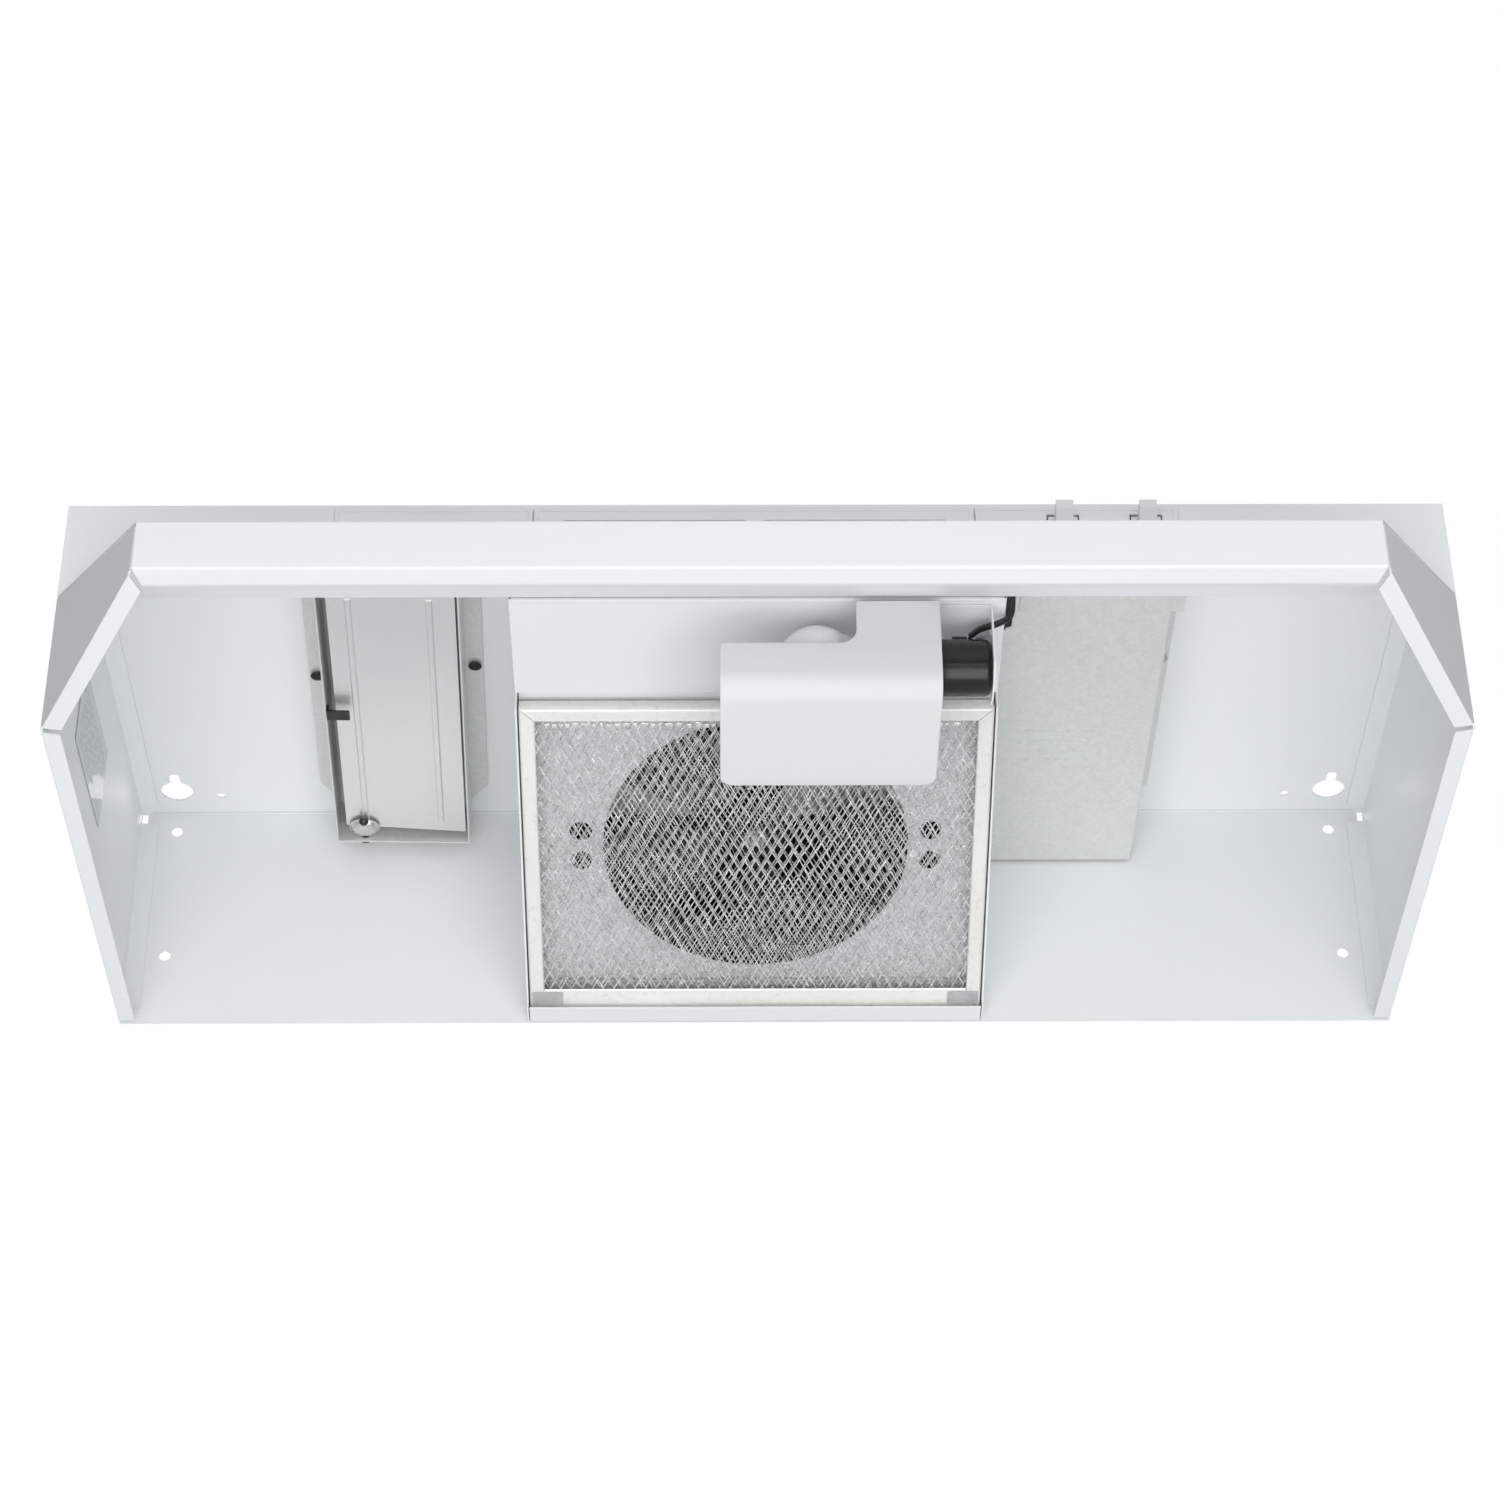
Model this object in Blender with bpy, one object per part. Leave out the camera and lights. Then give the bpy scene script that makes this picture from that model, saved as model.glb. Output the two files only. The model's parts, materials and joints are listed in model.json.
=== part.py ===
"""Under cabinet range hood, 30 in wide, as separate sheet metal, fan, filter, lamp and duct pieces.

World frame: origin at the middle of the cabinet side of the canopy, +X to the right seen from the front,
-Y to the front, +Z up. The canopy's own frame starts at the wall (y = 0) and at the rim (z = 0).
"""

import math

import bmesh
import bpy
from mathutils import Vector

INCH = 0.0254

# Canopy
WIDTH = 30.0 * INCH
DEPTH = 17.5 * INCH
BODY_DEPTH = 12.0 * INCH
HEIGHT = 6.0 * INCH
VISOR_TOP = 3.5 * INCH
LIP_HEIGHT = 1.2 * INCH
LIP_HALF = 12.36 * INCH
HEM_SIDE = 0.4 * INCH
HEM_FRONT = 0.55 * INCH
FLANGE = 0.47 * INCH
SHEET = 0.001
GAP = 0.0003
LAP = SHEET + GAP
BEND = 0.0018

# Holes and knock-outs
THROUGH = 0.01
KEYHOLE_RADIUS = 0.39 * INCH
KEYHOLE_SLOT = 0.25 * INCH
KEYHOLE_LENGTH = 0.72 * INCH
KEYHOLE_X = 14.0 * INCH
KEYHOLE_DEPTHS = (0.98 * INCH, 10.6 * INCH)
SCREW_HOLE = (12.95 * INCH, -0.79 * INCH)
SCREW_HOLE_RADIUS = 0.105 * INCH
BACK_HOLE_RADIUS = 0.14 * INCH
NOTCH_X = 14.81 * INCH
NOTCH_WIDTH = 0.14 * INCH
NOTCH_HEIGHTS = (5.64 * INCH, 5.92 * INCH)
BACK_HOLE_X = 14.07 * INCH
BACK_HOLE_HEIGHTS = (1.86 * INCH, 5.41 * INCH)
DUCT_RADIUS = 3.5 * INCH
DUCT_CENTRE = 4.85 * INCH
DUCT_CHORD = 4.15 * INCH
DUCT_SLOT = (0.62 * INCH, 3.87 * INCH)
DUCT_HALF = 5.0 * INCH
BACK_DUCT = (2.2 * INCH, 5.45 * INCH)
CONDUIT_RADIUS = 0.44 * INCH
CONDUIT_X = 7.4 * INCH
CONDUIT_DEPTH = 2.0 * INCH
CONDUIT_HEIGHT = 5.2 * INCH
KNOCKOUT_CUT = 0.0004

# Front controls
TRIM_HALF = 9.2 * INCH
TRIM_SEAMS = (-4.86 * INCH, 4.74 * INCH)
TRIM_HEIGHTS = (3.95 * INCH, 5.86 * INCH)
TRIM_THICKNESS = 0.0018
ROCKER_X = {"fan": 6.66 * INCH, "light": 8.47 * INCH}
ROCKER_HEIGHT = 5.14 * INCH
ROCKER_WIDTH = 0.64 * INCH
ROCKER_DRUM = 0.47 * INCH
ROCKER_FIN = 0.38 * INCH
ROCKER_REACH = 0.62 * INCH
GRILLE_ROWS = 7
GRILLE_HEIGHTS = (4.35 * INCH, 5.45 * INCH)
GRILLE_SLOTS = ((-4.2 * INCH, -0.25 * INCH), (0.15 * INCH, 4.1 * INCH))
GRILLE_SLOT_HALF = 0.0015

# Fan box
BOX_HALF = 5.36 * INCH
FLOOR_HEIGHT = 3.46 * INCH
FLOOR_DEPTH = 8.52 * INCH
SLOPE_START = (0.25 * INCH, 0.06 * INCH)
SLOPE_ANGLE = math.radians(19.8)
ORIFICE_RADIUS = 3.5 * INCH
ORIFICE_S = 4.6 * INCH
ORIFICE_N = 0.5 * INCH
COLLAR_TOP = 2.1 * INCH
FAN_RADIUS = 3.3 * INCH
HUB_RADIUS = 0.75 * INCH
BLADES = 5
SHAFT_RADIUS = 0.125 * INCH
BRACKET_REACH = 5.05 * INCH
BRACKET_LEG = 4.36 * INCH
BRACKET_TOP = 2.38 * INCH
BRACKET_HALF = 0.5 * INCH
BRACKET_SHEET = 0.0015
BRACKET_SCREW_X = 4.72 * INCH
PLATE_HOLE = (4.0 * INCH, 0.42 * INCH)
PLATE_HOLE_RADIUS = 0.26 * INCH

# Filter
FILTER_WIDTH = 10.5 * INCH
FILTER_LENGTH = 8.75 * INCH
FILTER_THICKNESS = 0.38 * INCH
FILTER_RIM = 0.35 * INCH
FILTER_REAR_RIM = 0.76 * INCH
FOIL = 0.03 * INCH

# Lamp
LAMP_DEPTH = 11.0 * INCH
LAMP_HEIGHT = 2.3 * INCH
SOCKET_RADIUS = 0.62 * INCH
SOCKET_ENDS = (3.0 * INCH, 5.0 * INCH)
GLOBE_RADIUS = 0.93 * INCH
GLOBE_X = 1.28 * INCH
LENS_X = (-0.81 * INCH, 3.9 * INCH)
LENS_FRONT = 12.1 * INCH
LENS_REAR = 8.5 * INCH
LENS_BOTTOM = 0.95 * INCH
LENS_TOP = 2.19 * INCH
LENS_ARM_X = 2.1 * INCH
LENS_ARM_TOP = 3.3 * INCH
LENS_WALL = 0.002
LENS_BEND = 0.5 * INCH

# Wiring cover
COVER_X = (5.45 * INCH, 9.15 * INCH)
COVER_HEIGHT = 4.48 * INCH
COVER_NOTCH = (5.72 * INCH, 9.3 * INCH)
COVER_FLANGE = (1.2 * INCH, 10.9 * INCH)
COVER_SCREW = (9.36 * INCH, -6.5 * INCH)
GROMMET_PLACE = (-5.5 * INCH, 5.2 * INCH)
GROMMET_HOLE = 0.27 * INCH
LEAD_RADIUS = 0.0011
LEAD_SPREAD = 0.0014

# Duct connector
COLLAR_CENTRE = (-8.325 * INCH, 5.43 * INCH)
COLLAR_TURN = math.radians(1.84)
COLLAR_HALF = (1.6 * INCH, 4.97 * INCH)
COLLAR_HEIGHTS = (4.8 * INCH, 5.94 * INCH)
COLLAR_FLANGE = 0.42 * INCH
FLAP_HEIGHT = 5.0 * INCH
FLAP_HINGE = -0.93 * INCH
FLAP_EDGES = (-1.36 * INCH, 1.5 * INCH)
FLAP_ENDS = 4.72 * INCH
FLAP_SLANT = 0.22 * INCH
FLAP_RIBS = (-0.88 * INCH, 0.92 * INCH)
PIVOT_RADIUS = 0.0019
PIVOT_HEAD = 0.0042
TAPPING_HOLE = 0.08 * INCH
COLLAR_SCREWS = ((-1.83 * INCH, -0.4 * INCH), (1.83 * INCH, -0.9 * INCH))

FINISHES = {
    "enamel": ((0.86, 0.88, 0.89), 0.25, 0.0),
    "galvanised": ((0.62, 0.65, 0.63), 0.4, 0.9),
    "aluminium": ((0.85, 0.84, 0.80), 0.3, 0.9),
    "steel": ((0.5, 0.5, 0.5), 0.35, 0.9),
    "copper": ((0.6, 0.25, 0.12), 0.4, 0.9),
    "bronze": ((0.5, 0.35, 0.15), 0.4, 0.9),
    "black_plastic": ((0.02, 0.02, 0.02), 0.35, 0.0),
    "white_plastic": ((0.85, 0.85, 0.84), 0.35, 0.0),
    "frosted_plastic": ((0.9, 0.9, 0.9), 0.3, 0.0),
    "grey_plastic": ((0.45, 0.46, 0.46), 0.3, 0.0),
    "glass": ((0.95, 0.95, 0.95), 0.1, 0.0),
    "rubber": ((0.02, 0.02, 0.02), 0.7, 0.0),
    "paper": ((0.8, 0.8, 0.8), 0.7, 0.0),
}


def clear_scene():
    for item in list(bpy.data.objects):
        bpy.data.objects.remove(item, do_unlink=True)


def empty(name, location, rotation=(0, 0, 0), parent=None):
    item = bpy.data.objects.new(name, None)
    item.location = location
    item.rotation_euler = rotation
    item.parent = parent
    bpy.context.scene.collection.objects.link(item)
    return item


def material(name, finish):
    colour, roughness, metallic = FINISHES[finish]
    made = bpy.data.materials.new(name)
    made.use_nodes = True
    shader = made.node_tree.nodes["Principled BSDF"]
    shader.inputs["Base Color"].default_value = (*colour, 1)
    shader.inputs["Roughness"].default_value = roughness
    shader.inputs["Metallic"].default_value = metallic
    return made


def solid(name, bm, parent, location=(0, 0, 0), finish=None, smooth=False):
    """Turn a bmesh into an object; without a finish it is a cutter or a guide."""
    bmesh.ops.recalc_face_normals(bm, faces=bm.faces)
    mesh = bpy.data.meshes.new(name)
    bm.to_mesh(mesh)
    bm.free()
    if smooth:
        mesh.shade_smooth()
        mesh.set_sharp_from_angle(angle=math.radians(35))
    item = bpy.data.objects.new(name, mesh)
    item.parent = parent
    item.location = location
    bpy.context.scene.collection.objects.link(item)
    if finish:
        mesh.materials.append(material(name, finish))
    else:
        item.hide_render = True
        item.display_type = "WIRE"
    return item


def combine(target, tool, operation):
    modifier = target.modifiers.new(operation.lower(), "BOOLEAN")
    modifier.operation = operation
    modifier.object = tool
    modifier.solver = "EXACT"


def cut(target, bm, location=(0, 0, 0)):
    name = f"{target.name}_cutter_{len(target.modifiers)}"
    combine(target, solid(name, bm, target.parent, location), "DIFFERENCE")


def join(target, bm, location=(0, 0, 0)):
    name = f"{target.name}_piece_{len(target.modifiers)}"
    combine(target, solid(name, bm, target.parent, location), "UNION")


def prism(outline, axis, low, high, bm=None):
    """Extrude a closed outline along an axis: (y, z) points for X, (x, z) for Y, (x, y) for Z."""
    bm = bm or bmesh.new()
    place = {
        "X": lambda point, along: (along, point[0], point[1]),
        "Y": lambda point, along: (point[0], along, point[1]),
        "Z": lambda point, along: (point[0], point[1], along),
    }[axis]
    ends = [[bm.verts.new(place(point, along)) for point in outline] for along in (low, high)]
    for ring in ends:
        bm.faces.new(ring)
    count = len(outline)
    for index in range(count):
        after = (index + 1) % count
        bm.faces.new((ends[0][index], ends[0][after], ends[1][after], ends[1][index]))
    return bm


def box(x, y, z, bm=None):
    outline = [(x[0], y[0]), (x[1], y[0]), (x[1], y[1]), (x[0], y[1])]
    return prism(outline, "Z", z[0], z[1], bm)


def circle(radius, steps=24, centre=(0, 0), start=0.0, sweep=math.tau):
    """Points on an arc; a full turn leaves out the repeated last point."""
    count = steps if sweep == math.tau else steps + 1
    turns = [start + sweep * index / steps for index in range(count)]
    return [(centre[0] + radius * math.cos(turn), centre[1] + radius * math.sin(turn)) for turn in turns]


def turned(profile, steps=32, closed=False, axis="Z"):
    """Revolve (radius, along) points: a closed profile is a ring, an open one runs from axis to axis."""
    bm = bmesh.new()
    rings = []
    for radius, along in profile:
        count = steps if radius > 0 else 1
        ring = []
        for index in range(count):
            turn = math.tau * index / steps
            across = (radius * math.cos(turn), radius * math.sin(turn))
            point = (along, *across) if axis == "X" else (*across, along)
            ring.append(bm.verts.new(point))
        rings.append(ring)
    pairs = list(zip(rings, rings[1:]))
    if closed:
        pairs.append((rings[-1], rings[0]))
    for first, second in pairs:
        for index in range(steps):
            after = (index + 1) % steps
            corners = [first[index % len(first)], first[after % len(first)]]
            corners += [second[after % len(second)], second[index % len(second)]]
            bm.faces.new(list(dict.fromkeys(corners)))
    return bm


def strip(points, thickness):
    """Closed outline of an open line of points, thickened to its left with mitred corners."""
    line = [Vector(point) for point in points]
    directions = [(after - before).normalized() for before, after in zip(line, line[1:])]
    normals = [Vector((-way.y, way.x)) for way in directions]
    offset = []
    for index, point in enumerate(line):
        before = normals[max(index - 1, 0)]
        after = normals[min(index, len(normals) - 1)]
        mitre = (before + after).normalized()
        offset.append(point + mitre * thickness / mitre.dot(after))
    return [tuple(point) for point in line + offset[::-1]]


def folded_sheet(name, faces, finish, parent, outward, thickness=SHEET, bend=BEND, segments=2):
    """Flat faces joined along shared edges, rounded at the folds and thickened inward.

    outward is a direction on the outer side of the first face.
    """
    bm = bmesh.new()
    made = [bm.faces.new([bm.verts.new(point) for point in face]) for face in faces]
    bmesh.ops.remove_doubles(bm, verts=bm.verts, dist=0.00001)
    made = [face for face in made if face.is_valid]
    bmesh.ops.recalc_face_normals(bm, faces=bm.faces)
    bm.faces.ensure_lookup_table()
    bm.normal_update()
    if made[0].normal.dot(Vector(outward)) < 0:
        bmesh.ops.reverse_faces(bm, faces=bm.faces)
    if bend:
        folds = [edge for edge in bm.edges if len(edge.link_faces) == 2 and edge.calc_face_angle() > 0.1]
        bmesh.ops.bevel(bm, geom=folds, offset=bend, segments=segments, profile=0.5, affect="EDGES")
    mesh = bpy.data.meshes.new(name)
    bm.to_mesh(mesh)
    bm.free()
    mesh.materials.append(material(name, finish))
    item = bpy.data.objects.new(name, mesh)
    item.parent = parent
    bpy.context.scene.collection.objects.link(item)
    wall = item.modifiers.new("thickness", "SOLIDIFY")
    wall.thickness = thickness
    wall.offset = -1
    wall.use_even_offset = True
    return item


def wire(name, route, radius, parent, steps=5):
    """Insulated lead along a smooth curve through its route's points."""
    points = [Vector(point) for point in route]
    points = [points[0] * 2 - points[1], *points, points[-1] * 2 - points[-2]]
    smooth = []
    for a, b, c, d in zip(points, points[1:], points[2:], points[3:]):
        for index in range(steps):
            t = index / steps
            smooth.append(0.5 * (
                2 * b + (c - a) * t + (2 * a - 5 * b + 4 * c - d) * t**2 + (3 * b - a - 3 * c + d) * t**3
            ))
    smooth.append(points[-2])
    curve = bpy.data.curves.new(name, "CURVE")
    curve.dimensions = "3D"
    curve.bevel_depth = radius
    curve.bevel_resolution = 2
    curve.use_fill_caps = True
    spline = curve.splines.new("POLY")
    spline.points.add(len(smooth) - 1)
    for point, place in zip(spline.points, smooth):
        point.co = (*place, 1)
    curve.materials.append(material(name, "black_plastic"))
    item = bpy.data.objects.new(name, curve)
    item.parent = parent
    bpy.context.scene.collection.objects.link(item)
    return item


def keyhole(depth):
    """Round hole with a slot running to the front, in (x, y)."""
    half = KEYHOLE_SLOT / 2
    side = math.asin(half / KEYHOLE_RADIUS)
    arc = circle(KEYHOLE_RADIUS, 20, (0, -depth), -math.pi / 2 + side, math.tau - 2 * side)
    end = -depth - KEYHOLE_LENGTH
    return arc + circle(half, 6, (0, end + half), math.pi, math.pi)


def duct_segment(grow):
    """Front part of the round duct opening, ahead of the rectangular one, in (x, y)."""
    radius = DUCT_RADIUS + grow
    chord = DUCT_CENTRE - DUCT_CHORD + grow
    side = math.asin(chord / radius)
    return circle(radius, 28, (0, -DUCT_CENTRE), side, -math.pi - 2 * side)


def top_back_panel(hood):
    half = WIDTH / 2
    top_front = -BODY_DEPTH + LAP
    faces = [
        [(-half, 0, 0), (half, 0, 0), (half, 0, HEIGHT), (-half, 0, HEIGHT)],
        [(-half, 0, HEIGHT), (half, 0, HEIGHT), (half, top_front, HEIGHT), (-half, top_front, HEIGHT)],
    ]
    panel = folded_sheet("top_back_panel", faces, "enamel", hood, (0, 1, 0))
    cut(panel, top_holes())
    cut(panel, back_holes())


def top_holes():
    through = (HEIGHT - THROUGH, HEIGHT + THROUGH)
    holes = bmesh.new()
    for side in (-1, 1):
        for depth in KEYHOLE_DEPTHS:
            outline = [(x + side * KEYHOLE_X, y) for x, y in keyhole(depth)]
            prism(outline, "Z", *through, holes)
        centre = (side * SCREW_HOLE[0], SCREW_HOLE[1])
        prism(circle(SCREW_HOLE_RADIUS, 12, centre), "Z", *through, holes)
    prism(duct_segment(KNOCKOUT_CUT), "Z", *through, holes)
    prism(circle(CONDUIT_RADIUS + KNOCKOUT_CUT, 24, (CONDUIT_X, -CONDUIT_DEPTH)), "Z", *through, holes)
    rear, front = DUCT_SLOT
    box(
        (-DUCT_HALF - KNOCKOUT_CUT, DUCT_HALF + KNOCKOUT_CUT),
        (-front - KNOCKOUT_CUT, -rear + KNOCKOUT_CUT),
        through,
        holes,
    )
    for place in COLLAR_SCREWS:
        prism(circle(TAPPING_HOLE, 12, collar_to_hood(place)), "Z", *through, holes)
    return holes


def back_holes():
    holes = bmesh.new()
    for side in (-1, 1):
        for height in BACK_HOLE_HEIGHTS:
            prism(circle(BACK_HOLE_RADIUS, 16, (side * BACK_HOLE_X, height)), "Y", -THROUGH, THROUGH, holes)
        notch = sorted((side * NOTCH_X, side * (NOTCH_X + NOTCH_WIDTH)))
        box(notch, (-0.002, THROUGH), NOTCH_HEIGHTS, holes)
    conduit = circle(CONDUIT_RADIUS + KNOCKOUT_CUT, 24, (CONDUIT_X, CONDUIT_HEIGHT))
    prism(conduit, "Y", -THROUGH, THROUGH, holes)
    box(
        (-DUCT_HALF - KNOCKOUT_CUT, DUCT_HALF + KNOCKOUT_CUT),
        (-THROUGH, THROUGH),
        (BACK_DUCT[0] - KNOCKOUT_CUT, BACK_DUCT[1] + KNOCKOUT_CUT),
        holes,
    )
    return holes


def knockouts(hood):
    top = (HEIGHT - SHEET, HEIGHT)
    back = (-SHEET, 0)
    slot = (-DUCT_SLOT[1], -DUCT_SLOT[0])
    solid("top_round_knockout", prism(duct_segment(0), "Z", *top), hood, finish="enamel")
    solid("top_rect_knockout", box((-DUCT_HALF, DUCT_HALF), slot, top), hood, finish="enamel")
    solid("back_rect_knockout", box((-DUCT_HALF, DUCT_HALF), back, BACK_DUCT), hood, finish="enamel")
    disc = prism(circle(CONDUIT_RADIUS, 24, (CONDUIT_X, -CONDUIT_DEPTH)), "Z", *top)
    solid("top_conduit_knockout", disc, hood, finish="enamel")
    disc = prism(circle(CONDUIT_RADIUS, 24, (CONDUIT_X, CONDUIT_HEIGHT)), "Y", *back)
    solid("back_conduit_knockout", disc, hood, finish="enamel")


def front_visor(hood):
    half = WIDTH / 2
    body = -BODY_DEPTH
    lip = -DEPTH
    hem = lip + HEM_FRONT
    hem_half = LIP_HALF - 0.14 * INCH
    inner = hem + 0.33 * INCH
    rise = 0.2 * INCH
    rows = (
        (half, body, HEIGHT), (half, body, VISOR_TOP), (LIP_HALF, lip, LIP_HEIGHT), (LIP_HALF, lip, 0),
        (hem_half, hem, 0), (hem_half, inner, rise),
    )
    faces = [
        [(-x0, y0, z0), (x0, y0, z0), (x1, y1, z1), (-x1, y1, z1)]
        for (x0, y0, z0), (x1, y1, z1) in zip(rows, rows[1:])
    ]
    visor = folded_sheet("front_visor", faces, "enamel", hood, (0, -1, 0))
    windows = bmesh.new()
    through = (body - THROUGH, body + THROUGH)
    margin = 0.1 * INCH
    across = (GRILLE_SLOTS[0][0] - 2 * margin, GRILLE_SLOTS[-1][1] + 2 * margin)
    box(across, through, (GRILLE_HEIGHTS[0] - margin, GRILLE_HEIGHTS[1] + margin), windows)
    for centre in ROCKER_X.values():
        side = ROCKER_WIDTH / 2 + 0.002
        tall = ROCKER_DRUM + 0.002
        box((centre - side, centre + side), through, (ROCKER_HEIGHT - tall, ROCKER_HEIGHT + tall), windows)
    cut(visor, windows)


def side_panel(hood, name, side):
    """Side with its mitred corner, the hems under both, and the weld flanges behind the top and back."""
    edge = side * WIDTH / 2
    slack = LAP + 0.0012
    corner = side * (LIP_HALF + slack * (WIDTH / 2 - LIP_HALF) / (DEPTH - BODY_DEPTH))
    rear = -LAP
    body = -BODY_DEPTH + LAP
    turn = -BODY_DEPTH
    lip = -DEPTH + slack
    top = HEIGHT - LAP
    relief = 0.1 * INCH
    # The corner face's top edge stays under the visor, measured square to its slope.
    drop = LAP * 1.15
    across = Vector((corner - edge, lip - turn, 0)).normalized()
    inward = Vector((across.y, -across.x, 0)) * side
    flange = edge - side * FLANGE
    hem = edge - side * HEM_SIDE
    corner_start = Vector((edge, turn, 0)) + across * relief
    corner_end = Vector((corner, lip, 0)) - across * relief
    hem_start = corner_start + inward * HEM_SIDE + across * relief
    hem_end = corner_end + inward * HEM_SIDE - across * 0.42 * INCH
    faces = [
        [
            (edge, rear, 0), (edge, -0.15 * INCH, 0), (edge, turn + relief, 0), (edge, turn, 0),
            (edge, turn, VISOR_TOP - drop), (edge, body, VISOR_TOP - SHEET), (edge, body, top - 0.2 * INCH),
            (edge, body + relief, top), (edge, -0.4 * INCH, top), (edge, rear, top),
            (edge, rear, 5.62 * INCH), (edge, rear, 0.4 * INCH),
        ],
        [
            (edge, turn, 0), tuple(corner_start), tuple(corner_end), (corner, lip, 0),
            (corner, lip, LIP_HEIGHT - drop), (edge, turn, VISOR_TOP - drop),
        ],
        [
            (edge, -0.15 * INCH, 0), (edge, turn + relief, 0),
            (hem, turn + 2 * relief, 0), (hem, -0.15 * INCH, 0),
        ],
        [tuple(corner_start), tuple(corner_end), tuple(hem_end), tuple(hem_start)],
        [
            (edge, body + relief, top), (edge, -0.4 * INCH, top),
            (flange, -0.4 * INCH, top), (flange, body + relief, top),
        ],
        [
            (edge, rear, 5.62 * INCH), (edge, rear, 0.4 * INCH),
            (flange, rear, 0.4 * INCH), (flange, rear, 5.62 * INCH),
        ],
    ]
    return folded_sheet(name, faces, "enamel", hood, (side, 0, 0))


def front_trim(hood):
    """Three plates across the upright front face."""
    outer = -BODY_DEPTH - GAP
    depth = (outer - TRIM_THICKNESS, outer)
    seam = 0.0003
    edges = (-TRIM_HALF, *TRIM_SEAMS, TRIM_HALF)
    names = ("front_blank", "vent_grille", "switch_plate")
    plates = {}
    for name, low, high in zip(names, edges, edges[1:]):
        plate = box((low + seam, high - seam), depth, TRIM_HEIGHTS)
        plates[name] = solid(name, plate, hood, finish="white_plastic")
    through = (depth[0] - THROUGH, depth[1] + THROUGH)
    slots = bmesh.new()
    lowest, highest = GRILLE_HEIGHTS
    for row in range(GRILLE_ROWS):
        height = lowest + (highest - lowest) * row / (GRILLE_ROWS - 1)
        for across in GRILLE_SLOTS:
            box(across, through, (height - GRILLE_SLOT_HALF, height + GRILLE_SLOT_HALF), slots)
    cut(plates["vent_grille"], slots)
    windows = bmesh.new()
    for centre in ROCKER_X.values():
        side = ROCKER_WIDTH / 2 + 0.0008
        tall = ROCKER_DRUM + 0.001
        heights = (ROCKER_HEIGHT - tall, ROCKER_HEIGHT + tall)
        box((centre - side, centre + side), through, heights, windows)
    cut(plates["switch_plate"], windows)


def rocker_switch(hood, name):
    """Open fronted case and a drum shaped rocker with a tall fin, turning about the case's cross axis."""
    centre = ROCKER_X[name]
    pivot = -BODY_DEPTH + 0.02 * INCH
    front = -BODY_DEPTH + SHEET + GAP
    rear = front + 0.95 * INCH
    side = ROCKER_WIDTH / 2
    wall = 0.002
    room = side + 0.001
    tall = ROCKER_DRUM + 0.0015
    outside = box(
        (centre - room - wall, centre + room + wall),
        (front, rear),
        (ROCKER_HEIGHT - tall - wall, ROCKER_HEIGHT + tall + wall),
    )
    case = solid(f"{name}_switch_case", outside, hood, finish="white_plastic")
    cut(case, box(
        (centre - room, centre + room),
        (front - THROUGH, front + 0.75 * INCH),
        (ROCKER_HEIGHT - tall, ROCKER_HEIGHT + tall),
    ))
    face = -0.1 * INCH
    drum = circle(ROCKER_DRUM, 16, (0, 0), -0.44 * math.pi, 0.88 * math.pi)
    drum = [(y, z) for y, z in drum] + [(face, ROCKER_DRUM * 0.94), (face, -ROCKER_DRUM * 0.94)]
    spot = (centre, pivot, ROCKER_HEIGHT)
    rocker = solid(f"{name}_switch_rocker", prism(drum, "X", -side, side), hood, spot, "white_plastic", True)
    tip = -ROCKER_REACH
    fin = [(face / 2, -0.36 * INCH), (face / 2, 0.42 * INCH), (tip, 0.5 * INCH), (tip, 0.28 * INCH)]
    join(rocker, prism(fin, "X", -ROCKER_FIN / 2, ROCKER_FIN / 2), spot)


def fan_housing(hood):
    """Two side walls and the flat front floor, with weld flanges under the canopy top."""
    front = -BODY_DEPTH + SHEET + GAP * 2
    floor = -FLOOR_DEPTH
    top = HEIGHT - LAP
    rear = -LAP - GAP
    heel = -0.66 * INCH
    heel_bottom = 0.02 * INCH
    heel_top = 0.2 * INCH
    slope_end = 3.05 * INCH
    weld = (-0.4 * INCH, -BODY_DEPTH + 0.5 * INCH)
    faces = [[(-BOX_HALF, front, FLOOR_HEIGHT), (BOX_HALF, front, FLOOR_HEIGHT),
              (BOX_HALF, floor, FLOOR_HEIGHT), (-BOX_HALF, floor, FLOOR_HEIGHT)]]
    for side in (-1, 1):
        wall = side * BOX_HALF
        inner = wall - side * 0.33 * INCH
        faces.append([
            (wall, front, FLOOR_HEIGHT), (wall, floor, FLOOR_HEIGHT), (wall, floor, slope_end),
            (wall, heel, heel_top), (wall, heel, heel_bottom), (wall, rear, heel_bottom),
            (wall, rear, top), (wall, weld[0], top), (wall, weld[1], top), (wall, front, top),
        ])
        faces.append([
            (wall, weld[0], top), (wall, weld[1], top), (inner, weld[1], top), (inner, weld[0], top),
        ])
    housing = folded_sheet("fan_housing", faces, "enamel", hood, (0, 0, -1), bend=0.0012)
    grommet = circle(GROMMET_HOLE, 16, GROMMET_PLACE)
    cut(housing, prism(grommet, "X", BOX_HALF - THROUGH, BOX_HALF + THROUGH))


def filter_ledge(hood):
    """Rear angle: one leg on the back panel, one under the filter's rear edge, with a turned-up lip."""
    half = BOX_HALF - SHEET - GAP * 2
    rear = -LAP - GAP
    line = [(rear, 0.9 * INCH), (rear, 0), (-0.65 * INCH, 0), (-0.65 * INCH, 0.05 * INCH)]
    solid("filter_ledge", prism(strip(line, -0.0008), "X", -half, half), hood, finish="enamel")


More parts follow.
